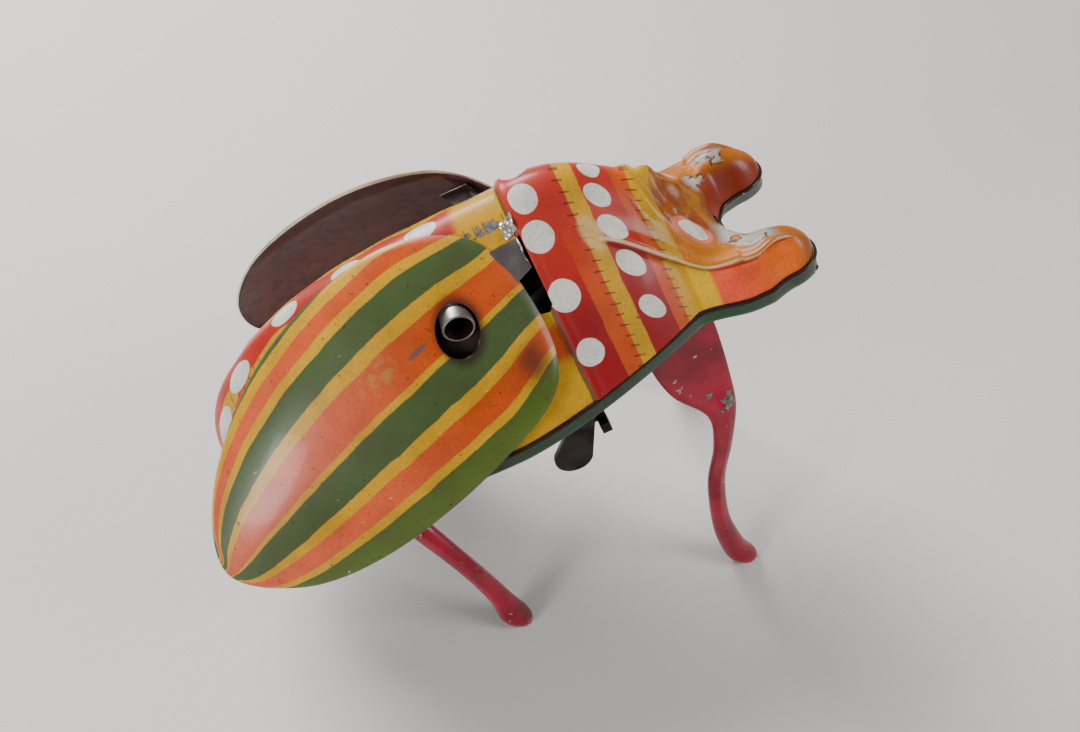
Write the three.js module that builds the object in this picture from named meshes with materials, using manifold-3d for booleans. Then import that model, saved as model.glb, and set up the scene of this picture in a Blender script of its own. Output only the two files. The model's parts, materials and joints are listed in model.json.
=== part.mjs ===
// Tin clockwork beetle: a lithographed shell, two wings, four legs and a small spring motor.
// Millimetres. The body is drawn level, head along +X, left side along +Y, with the seam between
// the upper shell and the belly plate at z = 0, and is then pitched nose up onto its four feet.
import * as THREE from 'three';
import { mergeVertices } from 'three/addons/utils/BufferGeometryUtils.js';
import Module from 'manifold-3d';

const wasm = await Module();
wasm.setup();

// ---- driving dimensions -------------------------------------------------------------------
const NOSE_UP = THREE.MathUtils.degToRad(21);
const TAIL_X = -55.8;
const WIDEST_X = -4;
const HALF_WIDTH = 26.4;
const RIDGE_HEIGHT = 29.5;
const SEAM_X = 12;
const CHEEK_X = 33.2;
const CHEEK_HALF_WIDTH = 15.5;
const NOTCH_X = 43.5;
const JAW_TIP_X = 55.6;
const JAW_Y = 11.9;
const JAW_HALF_WIDTH = 4.6;
const JAW_ROOT_EXTRA = 1.6;
const JAW_ROUND = 5.2;
const JAW_HEIGHT = 6.8;
const CHEEK_FLARE = 2.2;
const BROW_DROP = 11.5;
const SHELL = 0.6;
const LIP = 0.9;
const GAP = 0.3;
const BELLY_DEPTH = 3.2;
const BELLY_SHEET = 0.6;

const FLANK_ANGLE = THREE.MathUtils.degToRad(42);
const WING_OFFSET = 23.3;
const WING_CROWN = 4.6;
const WING_SHEET = 0.4;
const WING_CENTRE = [-24, 1];
const WING_PIN = [13, 10];
const OPEN_ROLL = THREE.MathUtils.degToRad(-18);
const OPEN_YAW = THREE.MathUtils.degToRad(-14);
const OPEN_PITCH = THREE.MathUtils.degToRad(-8);

const FRAME_INNER = 7;
const FRAME_SHEET = 0.8;
const TOOTH = 0.5;
const WINDING = [-3.4, 21.2];
const SECOND = [1.5, 15.4];
const CRANK = [5.05, 9.24];
const ESCAPE = [11.75, 6.8];
const ANCHOR = [18.3, 8];
const GREAT_TEETH = 22;
const WHEEL_TEETH = 20;
const PINION_TEETH = 8;
const ESCAPE_TEETH = 12;
const RATCHET_TEETH = 12;
const TUBE_RADIUS = 2.8;
const TUBE_END = -17.4;
const CRANK_THROW = 2.5;
const LEG_PIVOT = [31, 1.5];
const ARM_PIN = [29.5, 8.2];
const LEG_PLATE_Y = 12.6;
const ARM_Y = [9.2, 10];
const ROD_Y = [10.3, 11];
const LEVER_Z = 14.6;
const TIE_X = 17;
const STANCE = 49.75;
const STOP_PIVOT = [7.6, -6.6];
const STOP_Y = -20;

// ---- finishes -----------------------------------------------------------------------------
const FINISH = {
  litho: [0xc8452c, 0.35, 0.1],
  green: [0x1f4a2c, 0.4, 0.1],
  stripes: [0x5f7a33, 0.35, 0.1],
  crimson: [0xb01234, 0.35, 0.1],
  steel: [0x8f9296, 0.4, 1],
  dark: [0x35302c, 0.55, 0.9],
  brass: [0xb59a4c, 0.35, 1],
};

// ---- helpers ------------------------------------------------------------------------------
const toy = new THREE.Group();
const body = new THREE.Group();
body.rotation.y = -NOSE_UP;
toy.add(body);

function part(name, geometry, finish) {
  const [color, roughness, metalness] = FINISH[finish];
  const mesh = new THREE.Mesh(geometry, new THREE.MeshStandardMaterial({ color, roughness, metalness }));
  mesh.name = name;
  body.add(mesh);
}

function merged(geometry) {
  const bare = geometry.clone();
  bare.deleteAttribute('normal');
  bare.deleteAttribute('uv');
  return mergeVertices(bare, 1e-4);
}

function solid(geometry) {
  const shared = merged(geometry);
  const vertProperties = Float32Array.from(shared.attributes.position.array);
  const triVerts = Uint32Array.from(shared.index.array);
  return new wasm.Manifold(new wasm.Mesh({ numProp: 3, vertProperties, triVerts }));
}

function geometryOf(manifold) {
  const mesh = manifold.getMesh();
  const geometry = new THREE.BufferGeometry();
  geometry.setAttribute('position', new THREE.BufferAttribute(mesh.vertProperties, 3));
  geometry.setIndex(new THREE.BufferAttribute(mesh.triVerts, 1));
  return geometry;
}

const join = (...pieces) => geometryOf(pieces.map(solid).reduce((a, b) => a.add(b)));
const cut = (base, ...tools) => geometryOf(tools.map(solid).reduce((a, b) => a.subtract(b), solid(base)));

function box(x0, x1, y0, y1, z0, z1) {
  const geometry = new THREE.BoxGeometry(x1 - x0, y1 - y0, z1 - z0);
  return geometry.translate((x0 + x1) / 2, (y0 + y1) / 2, (z0 + z1) / 2);
}

// A round bar along Y.
function bar(x, z, radius, y0, y1, sides = 16) {
  return new THREE.CylinderGeometry(radius, radius, y1 - y0, sides).translate(x, (y0 + y1) / 2, z);
}

// A flat sheet whose outline is drawn in X and Z, lying between y0 and y1.
function sheet(shape, y0, y1) {
  const options = { depth: y1 - y0, bevelEnabled: false, curveSegments: 8 };
  const geometry = new THREE.ExtrudeGeometry(shape, options);
  return geometry.rotateX(Math.PI / 2).translate(0, y1, 0);
}

const polygon = (points) => new THREE.Shape(points.map(([x, z]) => new THREE.Vector2(x, z)));

function hole(shape, x, z, radius) {
  const path = new THREE.Path();
  path.absarc(x, z, radius, 0, 2 * Math.PI, true);
  shape.holes.push(path);
}

// A strap with round ends between two centres, with an optional hole at each.
function strap(from, to, halfWidth, holes) {
  const angle = Math.atan2(to[1] - from[1], to[0] - from[0]);
  const shape = new THREE.Shape();
  shape.absarc(to[0], to[1], halfWidth, angle - Math.PI / 2, angle + Math.PI / 2, false);
  shape.absarc(from[0], from[1], halfWidth, angle + Math.PI / 2, angle + 1.5 * Math.PI, false);
  shape.closePath();
  for (const [centre, radius] of holes) {
    hole(shape, centre[0], centre[1], radius);
  }
  return shape;
}

// A closed thin wall: a grid of points gives one face, `offset` gives the other, and the open
// edges between them are walled. rows[i][j] are THREE.Vector3.
function wall(patches, offset) {
  const positions = [];
  const push = (...points) => points.forEach((p) => positions.push(p.x, p.y, p.z));
  const edges = new Map();
  const key = (p) => `${p.x.toFixed(4)},${p.y.toFixed(4)},${p.z.toFixed(4)}`;
  const addTriangle = (a, b, c) => {
    if (key(a) === key(b) || key(b) === key(c) || key(c) === key(a)) {
      return;
    }
    push(a, b, c, offset(a), offset(c), offset(b));
    for (const [p, q] of [[a, b], [b, c], [c, a]]) {
      const reverse = `${key(q)}|${key(p)}`;
      if (edges.has(reverse)) {
        edges.delete(reverse);
      } else {
        edges.set(`${key(p)}|${key(q)}`, [p, q]);
      }
    }
  };
  for (const rows of patches) {
    for (let i = 0; i + 1 < rows.length; i += 1) {
      for (let j = 0; j + 1 < rows[i].length; j += 1) {
        addTriangle(rows[i][j], rows[i + 1][j], rows[i + 1][j + 1]);
        addTriangle(rows[i][j], rows[i + 1][j + 1], rows[i][j + 1]);
      }
    }
  }
  for (const [p, q] of edges.values()) {
    push(q, p, offset(p), q, offset(p), offset(q));
  }
  const geometry = new THREE.BufferGeometry();
  geometry.setAttribute('position', new THREE.Float32BufferAttribute(positions, 3));
  return mergeVertices(geometry, 1e-4);
}

// A closed bar lofted through oval rings: each has a centre, half sizes along X and Y, and a tilt
// of its plane about Y.
function loft(rings, sides = 10) {
  const ringPoints = rings.map(([x, y, z, halfX, halfY, tilt = 0]) => {
    const points = [];
    for (let k = 0; k < sides; k += 1) {
      const angle = (2 * Math.PI * k) / sides;
      const along = halfX * Math.cos(angle);
      points.push([x + along * Math.cos(tilt), y + halfY * Math.sin(angle), z + along * Math.sin(tilt)]);
    }
    return points;
  });
  const positions = ringPoints.flat(2);
  const index = [];
  const last = (rings.length - 1) * sides;
  for (let k = 0; k < sides; k += 1) {
    const next = (k + 1) % sides;
    for (let i = 0; i + 1 < rings.length; i += 1) {
      const [a, b] = [i * sides + k, i * sides + next];
      index.push(a, a + sides, b, b, a + sides, b + sides);
    }
    if (k > 0 && k < sides - 1) {
      index.push(0, k, next);
      index.push(last, last + next, last + k);
    }
  }
  const geometry = new THREE.BufferGeometry();
  geometry.setAttribute('position', new THREE.Float32BufferAttribute(positions, 3));
  geometry.setIndex(index);
  return geometry;
}

const mirrored = (geometry) => {
  const copy = geometry.index ? geometry.toNonIndexed() : geometry.clone();
  const flipped = copy.attributes.position.array.slice();
  for (let i = 0; i < flipped.length; i += 9) {
    for (let k = 0; k < 3; k += 1) {
      const [b, c] = [copy.attributes.position.array[i + 3 + k], copy.attributes.position.array[i + 6 + k]];
      flipped[i + 3 + k] = c;
      flipped[i + 6 + k] = b;
    }
  }
  for (let i = 1; i < flipped.length; i += 3) {
    flipped[i] = -flipped[i];
  }
  const geometryOut = new THREE.BufferGeometry();
  geometryOut.setAttribute('position', new THREE.Float32BufferAttribute(flipped, 3));
  return mergeVertices(geometryOut, 1e-5);
};

// ---- the body's outline and height ----------------------------------------------------------
const mix = (a, b, t) => a + (b - a) * t;
const smooth = (a, b, x) => THREE.MathUtils.smoothstep(x, a, b);

// Half width of the body, or of a jaw's outer edge, at a place along the body.
function outerEdge(x) {
  if (x <= WIDEST_X) {
    const t = Math.min(1, (WIDEST_X - x) / (WIDEST_X - TAIL_X));
    return Math.max(1.5, HALF_WIDTH * Math.sqrt(1 - t ** 2.1));
  }
  if (x <= CHEEK_X) {
    const t = (x - WIDEST_X) / (CHEEK_X - WIDEST_X);
    return mix(HALF_WIDTH, CHEEK_HALF_WIDTH, t ** 1.55);
  }
  const flare = CHEEK_HALF_WIDTH + CHEEK_FLARE * smooth(CHEEK_X, CHEEK_X + 10, x);
  return Math.min(flare, JAW_Y + jawHalf(x));
}

// Half width of one jaw: widest at its root, with a round tip.
function jawHalf(x) {
  const t = Math.max(0, (x - (JAW_TIP_X - JAW_ROUND)) / JAW_ROUND);
  const root = JAW_ROOT_EXTRA * (1 - smooth(NOTCH_X, JAW_TIP_X - JAW_ROUND, x));
  return (JAW_HALF_WIDTH + root) * Math.sqrt(Math.max(0.02, 1 - t * t));
}

// Inner edge of a jaw, or the middle of the body behind the notch.
function innerEdge(x) {
  if (x <= NOTCH_X) {
    return 0;
  }
  return Math.max(0.01, JAW_Y - jawHalf(x)) * smooth(NOTCH_X - 2, NOTCH_X + 3, x);
}

function ridge(x) {
  if (x < 0) {
    return RIDGE_HEIGHT * Math.sqrt(Math.max(0, 1 - (x / (TAIL_X - 1)) ** 2.6));
  }
  return RIDGE_HEIGHT - BROW_DROP * smooth(SEAM_X + 4, NOTCH_X - 2, x);
}

function jawHeight(x) {
  const t = Math.max(0, (x - 47) / (JAW_TIP_X - 46.6));
  return JAW_HEIGHT * Math.sqrt(Math.max(0, 1 - t * t));
}

// Height of the shell above the seam. v runs from the middle of the body, or a jaw's inner edge,
// at 0, to the outer edge at 1.
function shellHeight(x, v) {
  const gable = ridge(x) * (1 - v ** 1.6);
  const jaw = jawHeight(x) * (1 - Math.abs(2 * v - 1) ** 2.6);
  return x < CHEEK_X ? gable : mix(gable, jaw, smooth(CHEEK_X, NOTCH_X + 0.5, x));
}

// Places along the body where its cross-section is drawn, closer together at the tail and the jaws.
function stations() {
  const tail = [TAIL_X, TAIL_X + 0.9, TAIL_X + 3, TAIL_X + 6.5];
  const middle = [-43, -37, -30, -22, -13, WIDEST_X, 4, SEAM_X, 20, 27, CHEEK_X];
  const jaws = [36.5, 40, NOTCH_X, 45.5, 48, 50.5, 52.8, 54.4, 55.3, JAW_TIP_X];
  return [...tail, ...middle, ...jaws];
}

// Rows of points over one half of the body, from the middle out, with the flat lip as last column.
function halfRows(side, columns, height) {
  return stations().map((x) => {
    const inner = innerEdge(x);
    const outer = outerEdge(x);
    const points = columns.map((v) => new THREE.Vector3(x, side * mix(inner, outer, v), height(x, v)));
    points.push(new THREE.Vector3(x, side * (outer + LIP), height(x, 1)));
    return side > 0 ? points : points.reverse();
  });
}

const below = (depth) => (p) => new THREE.Vector3(p.x, p.y, p.z - depth);

function bodyTop() {
  const columns = [0, 0.13, 0.27, 0.42, 0.58, 0.74, 0.88, 1];
  const height = (x, v) => shellHeight(x, v) + SHELL;
  const shell = wall([halfRows(1, columns, height), halfRows(-1, columns, height)], below(SHELL));
  const leverSlot = box(4, 12.4, 8, 18, 13, 21);
  const tubeHole = bar(WINDING[0], WINDING[1], TUBE_RADIUS + 0.6, -16, -6);
  return cut(shell, leverSlot, mirrored(leverSlot), tubeHole);
}

function bellyPlate() {
  const columns = [0, 0.5, 0.94, 1];
  const height = (x, v) => (v < 0.97 ? -BELLY_DEPTH + BELLY_SHEET : -GAP);
  const pan = wall([halfRows(1, columns, height), halfRows(-1, columns, height)], below(BELLY_SHEET));
  const legSlot = box(20.5, 37.5, LEG_PLATE_Y - 1, LEG_PLATE_Y + 1.2, -5, 5);
  const cleaningHole = new THREE.CylinderGeometry(4, 4, 10, 16).rotateX(Math.PI / 2).translate(-30, 0, 0);
  return cut(pan, legSlot, mirrored(legSlot), cleaningHole);
}

// ---- wings -----------------------------------------------------------------------------------
// The right wing lies on the flank. Its plane is given by X, by w down the flank and by n outwards.
const FLANK_DOWN = new THREE.Vector3(0, -Math.sin(FLANK_ANGLE), -Math.cos(FLANK_ANGLE));
const FLANK_OUT = new THREE.Vector3(0, -Math.cos(FLANK_ANGLE), Math.sin(FLANK_ANGLE));

function onFlank(x, w, n) {
  const point = new THREE.Vector3(x, 0, 0);
  return point.addScaledVector(FLANK_DOWN, w).addScaledVector(FLANK_OUT, n);
}

// The outline of a wing in X and w, from its front end round by the middle of the back.
const WING_OUTLINE = new THREE.CatmullRomCurve3([
  new THREE.Vector3(9.2, -2, 0), new THREE.Vector3(4.5, -17, 0), new THREE.Vector3(-9.5, -22.3, 0),
  new THREE.Vector3(-35, -14.8, 0), new THREE.Vector3(-53.6, 3, 0), new THREE.Vector3(-57, 15.5, 0),
  new THREE.Vector3(-47, 22.6, 0), new THREE.Vector3(-32.5, 24, 0), new THREE.Vector3(-7.4, 17.9, 0),
  new THREE.Vector3(7, 9.8, 0),
], true, 'centripetal');

function wingSurface(rings, spokes) {
  const rows = [];
  for (let k = 0; k <= spokes; k += 1) {
    const edge = WING_OUTLINE.getPoint(((spokes - k) % spokes) / spokes);
    const row = [];
    for (let i = 0; i <= rings; i += 1) {
      const r = i / rings;
      const crown = WING_CROWN * (1 - r ** 2.4);
      row.push(onFlank(mix(WING_CENTRE[0], edge.x, r), mix(WING_CENTRE[1], edge.y, r), WING_OFFSET + crown));
    }
    rows.push(row);
  }
  return rows;
}

// The left wing stands open: the same wing mirrored and turned about the lever.
function standOpen() {
  const turn = new THREE.Matrix4().makeRotationX(OPEN_ROLL);
  turn.premultiply(new THREE.Matrix4().makeRotationZ(OPEN_YAW));
  turn.premultiply(new THREE.Matrix4().makeRotationY(OPEN_PITCH));
  const there = new THREE.Matrix4().makeTranslation(8, 17.6, 20.8);
  const back = new THREE.Matrix4().makeTranslation(-8, -13.5, -20);
  return there.multiply(turn).multiply(back);
}

const AS_DRAWN = new THREE.Matrix4();

function wing() {
  const inwards = FLANK_OUT.clone().multiplyScalar(-WING_SHEET);
  return wall([wingSurface(5, 26)], (p) => p.clone().add(inwards));
}

function rightWing() {
  const [x, z] = WINDING;
  const clearance = new THREE.Shape();
  clearance.absarc(x, z, TUBE_RADIUS + 0.5, -Math.PI / 2, Math.PI / 2, false);
  clearance.absarc(x - 0.7, z, TUBE_RADIUS + 0.5, Math.PI / 2, 1.5 * Math.PI, false);
  clearance.closePath();
  return cut(wing(), sheet(clearance, -22, -8));
}

// A round collar about a Z axis.
function collar(x, y, z0, z1, outer, inner) {
  const profile = [[inner, z0], [outer, z0], [outer, z1], [inner, z1], [inner, z0]];
  const ring = new THREE.LatheGeometry(profile.map(([r, z]) => new THREE.Vector2(r, z)), 16);
  return ring.rotateX(Math.PI / 2).translate(x, y, 0);
}

// A lever: a plate under the wing's front end, a web through the slot, a collar on the pin and a
// tail that reaches the tie bar. side is -1 on the right; `pose` stands the plate with its wing.
function wingLever(side, pose) {
  const [pinX, pinY] = [WING_PIN[0], side * WING_PIN[1]];
  const underWing = WING_OFFSET + 0.2;
  const seat = new THREE.Matrix4();
  seat.makeBasis(new THREE.Vector3(1, 0, 0), FLANK_DOWN.clone().negate(), FLANK_OUT);
  seat.setPosition(onFlank(3.2, -4, underWing));
  const flat = new THREE.BoxGeometry(5.6, 5.6, 0.3).applyMatrix4(seat);
  const plate = (side > 0 ? mirrored(flat) : merged(flat)).applyMatrix4(pose);
  const front = onFlank(5, -2.6, underWing - 0.6).multiply(new THREE.Vector3(1, -side, 1));
  front.applyMatrix4(pose);
  const middle = new THREE.Vector3(pinX, pinY, LEVER_Z + 1.4);
  const reach = front.sub(middle);
  const web = new THREE.BoxGeometry(reach.length(), 0.6, 2.4).translate(reach.length() / 2, 0, 0);
  const climb = Math.asin(reach.z / reach.length());
  web.rotateY(-climb).rotateZ(Math.atan2(reach.y, reach.x)).translate(pinX, pinY, LEVER_Z + 1.4);
  const tail = box(pinX, TIE_X + 0.8, pinY - 0.8, pinY + 0.8, LEVER_Z, LEVER_Z + 0.6);
  const eye = new THREE.CylinderGeometry(1.5, 1.5, 3.6, 16).rotateX(Math.PI / 2);
  eye.translate(pinX, pinY, LEVER_Z + 1.8);
  const bore = new THREE.CylinderGeometry(0.95, 0.95, 12, 16).rotateX(Math.PI / 2);
  bore.translate(pinX, pinY, LEVER_Z);
  return cut(join(plate, web, tail, eye), bore);
}

function wingPin(side) {
  const [x, y] = [WING_PIN[0], side * WING_PIN[1]];
  const profile = [[0, 0], [0.65, 0], [0.65, 5.8], [1.2, 5.8], [1.2, 6.3], [0, 6.3]];
  const pin = new THREE.LatheGeometry(profile.map(([r, z]) => new THREE.Vector2(r, z)), 14);
  return pin.rotateX(Math.PI / 2).translate(x, y, LEVER_Z - 0.9);
}

function wingBracket() {
  const [x, y] = WING_PIN;
  const top = box(x - 1.4, x + 1.4, -y - 1, y + 1, LEVER_Z + 4, LEVER_Z + 4.6);
  const tab = box(x - 1.4, x + 1.4, FRAME_INNER - 0.9, FRAME_INNER - 0.3, 10.5, LEVER_Z + 4.4);
  const pinHole = new THREE.CylinderGeometry(0.95, 0.95, 4, 16).rotateX(Math.PI / 2);
  pinHole.translate(x, y, LEVER_Z + 4.3);
  return cut(join(top, tab, mirrored(tab)), pinHole, mirrored(pinHole));
}

part('body_top', bodyTop(), 'litho');
part('belly_plate', bellyPlate(), 'green');
part('right_wing', rightWing(), 'stripes');
part('left_wing', mirrored(wing()).applyMatrix4(standOpen()), 'stripes');
part('right_wing_lever', wingLever(-1, AS_DRAWN), 'steel');
part('left_wing_lever', wingLever(1, standOpen()), 'steel');
part('right_wing_pin', wingPin(-1), 'steel');
part('left_wing_pin', wingPin(1), 'steel');
part('wing_bracket', wingBracket(), 'steel');
part('wing_tie_bar', box(TIE_X - 0.8, TIE_X + 0.8, -11, 11, LEVER_Z - 0.9, LEVER_Z - 0.3), 'steel');

// ---- legs ------------------------------------------------------------------------------------
// Height, in the body's own frame, of the ground under a place along the body.
const groundUnder = (x) => -(STANCE + x * Math.sin(NOSE_UP)) / Math.cos(NOSE_UP);

// Rings of x, y, z, half size along X, half size along Y and tilt. The last one rests on the ground.
const FRONT_LEG = [
  [31, -12.6, 3.9, 0.9, 0.35], [31, -12.6, 3.2, 2.2, 0.4], [31, -12.6, 0, 3.2, 0.4],
  [29, -12.6, -4, 6.2, 0.4], [28.4, -13.6, -9, 6.8, 0.5], [28.8, -15.6, -17, 5.7, 0.8],
  [30.4, -17.6, -24, 2.9, 1.3],
  [28, -19.6, -31, 1.9, 1.5], [24.2, -21.4, -38, 1.8, 1.5], [21.9, -23, -48, 1.9, 1.6],
  [21.9, -23.9, -56, 2.6, 2.1, -NOSE_UP], [22.8, -24.5, -60.3, 3.1, 2.6, -NOSE_UP],
  [23.4, -24.6, groundUnder(23.4), 2, 1.8, -NOSE_UP],
];
const REAR_LEG = [
  [-34, -16.4, -3.6, 4.2, 2.4], [-33.6, -16.8, -4.6, 3.8, 1.9], [-30.2, -19.2, -10, 2.5, 1.6],
  [-27.3, -22, -17, 2.1, 1.6], [-24.1, -25, -28, 1.9, 1.6], [-22.6, -26.4, -37, 2.3, 1.9, -NOSE_UP],
  [-22.1, -27.3, -42.6, 3, 2.6, -NOSE_UP], [-21.5, -27.5, groundUnder(-21.5), 2, 1.9, -NOSE_UP],
];

// The left front leg stands a step ahead of the right one.
const STEP_AHEAD = 4.6;
const aStepAhead = (rings) => rings.map(([x, y, z, ...sizes], index) => {
  const ahead = x + STEP_AHEAD * Math.min(1, Math.max(0, (-9 - z) / 45));
  return [ahead, y, index === rings.length - 1 ? groundUnder(ahead) : z, ...sizes];
});

const legBore = bar(LEG_PIVOT[0], LEG_PIVOT[1], 1.3, -20, 20);
const frontLeg = (rings) => cut(loft(rings), legBore);

// The arm that a connecting rod works: a sleeve round the leg shaft, a strap and a crank pin.
function legArm() {
  const [inner, outer] = ARM_Y;
  const arm = sheet(strap(LEG_PIVOT, ARM_PIN, 1.2, []), -outer, -inner);
  const sleeve = bar(LEG_PIVOT[0], LEG_PIVOT[1], 1.9, -LEG_PLATE_Y + 0.7, -inner);
  const pin = bar(ARM_PIN[0], ARM_PIN[1], 0.6, -11.4, -inner);
  return cut(join(arm, sleeve, pin), legBore);
}

// The rod's rear eye stands just outside the crank pin's end, so the linkage is open there.
function connectingRod(crankSide) {
  const rear = [CRANK[0], CRANK[1] + crankSide * CRANK_THROW];
  return sheet(strap(rear, ARM_PIN, 1.3, [[rear, 0.75], [ARM_PIN, 0.9]]), -ROD_Y[1], -ROD_Y[0]);
}

part('front_leg_right', frontLeg(FRONT_LEG), 'crimson');
part('front_leg_left', mirrored(frontLeg(aStepAhead(FRONT_LEG))), 'crimson');
part('leg_arm_right', legArm(), 'steel');
part('leg_arm_left', mirrored(legArm()), 'steel');
part('leg_shaft', bar(LEG_PIVOT[0], LEG_PIVOT[1], 1, -13.6, 13.6), 'steel');
part('connecting_rod_right', connectingRod(1), 'steel');
part('connecting_rod_left', mirrored(connectingRod(-1)), 'steel');
part('rear_leg_right', loft(REAR_LEG), 'crimson');
part('rear_leg_left', mirrored(loft(REAR_LEG)), 'crimson');

// ---- stop lever under the right edge ------------------------------------------------------------
function stopLever() {
  const tip = [2.6, -15];
  const angle = Math.atan2(tip[1] - STOP_PIVOT[1], tip[0] - STOP_PIVOT[0]);
  const shape = new THREE.Shape();
  shape.absarc(tip[0], tip[1], 3.6, angle - Math.PI / 2, angle + Math.PI / 2, false);
  shape.absarc(STOP_PIVOT[0], STOP_PIVOT[1], 2, angle + Math.PI / 2, angle + 1.5 * Math.PI, false);
  shape.closePath();
  hole(shape, STOP_PIVOT[0], STOP_PIVOT[1], 0.9);
  return sheet(shape, STOP_Y - 0.6, STOP_Y + 0.5);
}

function stopBracket() {
  const web = box(4.6, 11.2, STOP_Y + 0.9, STOP_Y + 1.5, -10.2, -3.5);
  const foot = box(4.6, 11.2, STOP_Y + 0.9, STOP_Y + 4, -4.1, -3.5);
  const lug = box(9.4, 11.2, STOP_Y - 1.2, STOP_Y + 1.5, -11.6, -9.2);
  return cut(join(web, foot, lug), bar(STOP_PIVOT[0], STOP_PIVOT[1], 0.9, -30, -10));
}

function stopRivet() {
  const [x, z] = STOP_PIVOT;
  return join(bar(x, z, 0.6, STOP_Y - 1.2, STOP_Y + 1.9), bar(x, z, 1.4, STOP_Y - 1.5, STOP_Y - 0.9));
}

part('stop_lever', stopLever(), 'dark');
part('stop_lever_bracket', stopBracket(), 'dark');
part('stop_lever_rivet', stopRivet(), 'steel');

// ---- clockwork ---------------------------------------------------------------------------------
const angleTo = (from, to) => Math.atan2(to[1] - from[1], to[0] - from[0]);
const meshing = (angle, teeth) => angle + Math.PI + Math.PI / teeth;

// A toothed outline with one tooth centred at `phase`.
function toothed([x, z], teeth, phase) {
  const pitchRadius = (TOOTH * teeth) / 2;
  const [root, tip] = [pitchRadius - 1.2 * TOOTH, pitchRadius + 0.85 * TOOTH];
  const step = (2 * Math.PI) / teeth;
  const points = [];
  for (let k = 0; k < teeth; k += 1) {
    for (const [offset, radius] of [[-0.23, root], [-0.09, tip], [0.09, tip], [0.23, root]]) {
      const angle = phase + (k + offset) * step;
      points.push([x + radius * Math.cos(angle), z + radius * Math.sin(angle)]);
    }
  }
  return polygon(points);
}

function wheel(centre, teeth, phase, bore, y0, y1) {
  const shape = toothed(centre, teeth, phase);
  hole(shape, centre[0], centre[1], bore);
  return sheet(shape, y0, y1);
}

function arbor(centre, radius, y0, y1, pinion) {
  const shaft = bar(centre[0], centre[1], radius, y0, y1);
  return join(shaft, sheet(toothed(centre, PINION_TEETH, pinion.phase), pinion.y0, pinion.y1));
}

function framePlate() {
  const shape = polygon([
    [-11.2, -2.2], [34.2, -2.2], [34.2, 4.6], [27, 10.5],
    [15.5, 12.8], [9.5, 18.5], [4.5, 24.2], [-11.2, 24.2],
  ]);
  const bearings = [
    [WINDING, 1.7], [SECOND, 1.3], [CRANK, 1.6], [ESCAPE, 1.1], [ANCHOR, 1.1], [LEG_PIVOT, 1.3],
  ];
  for (const [centre, radius] of bearings) {
    hole(shape, centre[0], centre[1], radius);
  }
  return sheet(shape, FRAME_INNER, FRAME_INNER + FRAME_SHEET);
}

// The winding arbor: a plain shaft whose right end is an open tube that takes the key.
function windingArbor() {
  const [x, z] = WINDING;
  const tube = bar(x, z, TUBE_RADIUS, TUBE_END, -8.1, 20);
  const shaft = bar(x, z, 1.4, -9, 8.4);
  return cut(join(tube, shaft), bar(x, z, TUBE_RADIUS - 0.7, TUBE_END - 1, -9.5, 20));
}

function mainspring() {
  const [x, z] = WINDING;
  const [turns, steps, thickness] = [5, 14, 0.35];
  const spiral = (shift) => Array.from({ length: turns * steps + 1 }, (_, k) => {
    const angle = (2 * Math.PI * k) / steps;
    const radius = mix(2, 5.6, k / (turns * steps)) + shift;
    return [x + radius * Math.cos(angle), z + radius * Math.sin(angle)];
  });
  return sheet(polygon([...spiral(thickness / 2), ...spiral(-thickness / 2).reverse()]), -4.2, 1.2);
}

function ratchetWheel() {
  const [x, z] = WINDING;
  const points = [];
  for (let k = 0; k < RATCHET_TEETH; k += 1) {
    for (const [offset, radius] of [[0, 2.5], [0.85, 3.2]]) {
      const angle = ((k + offset) * 2 * Math.PI) / RATCHET_TEETH;
      points.push([x + radius * Math.cos(angle), z + radius * Math.sin(angle)]);
    }
  }
  const shape = polygon(points);
  hole(shape, x, z, 1.7);
  return sheet(shape, 3.1, 3.8);
}

const aboutWinding = (radius, degrees) => {
  const angle = THREE.MathUtils.degToRad(degrees);
  return [WINDING[0] + radius * Math.cos(angle), WINDING[1] + radius * Math.sin(angle)];
};
const CLICK_PIVOT = aboutWinding(4.3, 115);

function clickSpring() {
  return sheet(strap(aboutWinding(4.9, 150), aboutWinding(5, 200), 0.2, []), 3.1, 3.6);
}

function crankDisc(side) {
  const [x, z] = CRANK;
  const disc = new THREE.Shape();
  disc.absarc(x, z, 4, 0, 2 * Math.PI, false);
  hole(disc, x, z, 1.6);
  const pin = bar(x, z + side * CRANK_THROW, 0.55, -10, -8.6, 12);
  return join(sheet(disc, -9, -8.2), pin);
}

function palletAnchor() {
  const upper = sheet(strap(ANCHOR, [14.9, 11], 0.6, []), -0.4, 0.4);
  const lower = sheet(strap(ANCHOR, [15.2, 2.9], 0.6, []), -0.4, 0.4);
  const hub = bar(ANCHOR[0], ANCHOR[1], 1.9, -1.2, 1.2);
  return cut(join(upper, lower, hub), bar(ANCHOR[0], ANCHOR[1], 1.1, -3, 3));
}

function escapeWheel() {
  const points = [];
  for (let k = 0; k < 2 * ESCAPE_TEETH; k += 1) {
    const radius = k % 2 ? 2.8 : 4.2;
    const angle = (k * Math.PI) / ESCAPE_TEETH;
    points.push([ESCAPE[0] + radius * Math.cos(angle), ESCAPE[1] + radius * Math.sin(angle)]);
  }
  const shape = polygon(points);
  hole(shape, ESCAPE[0], ESCAPE[1], 1.1);
  return sheet(shape, -0.4, 0.4);
}

const greatToSecond = angleTo(WINDING, SECOND);
const secondToCrank = angleTo(SECOND, CRANK);
const crankToEscape = angleTo(CRANK, ESCAPE);
const secondPinion = { phase: meshing(greatToSecond, PINION_TEETH), y0: 1.4, y1: 2.95 };
const crankPinion = { phase: meshing(secondToCrank, PINION_TEETH), y0: -6.5, y1: -4.9 };
const escapePinion = { phase: meshing(crankToEscape, PINION_TEETH), y0: 3.9, y1: 5.5 };

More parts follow.
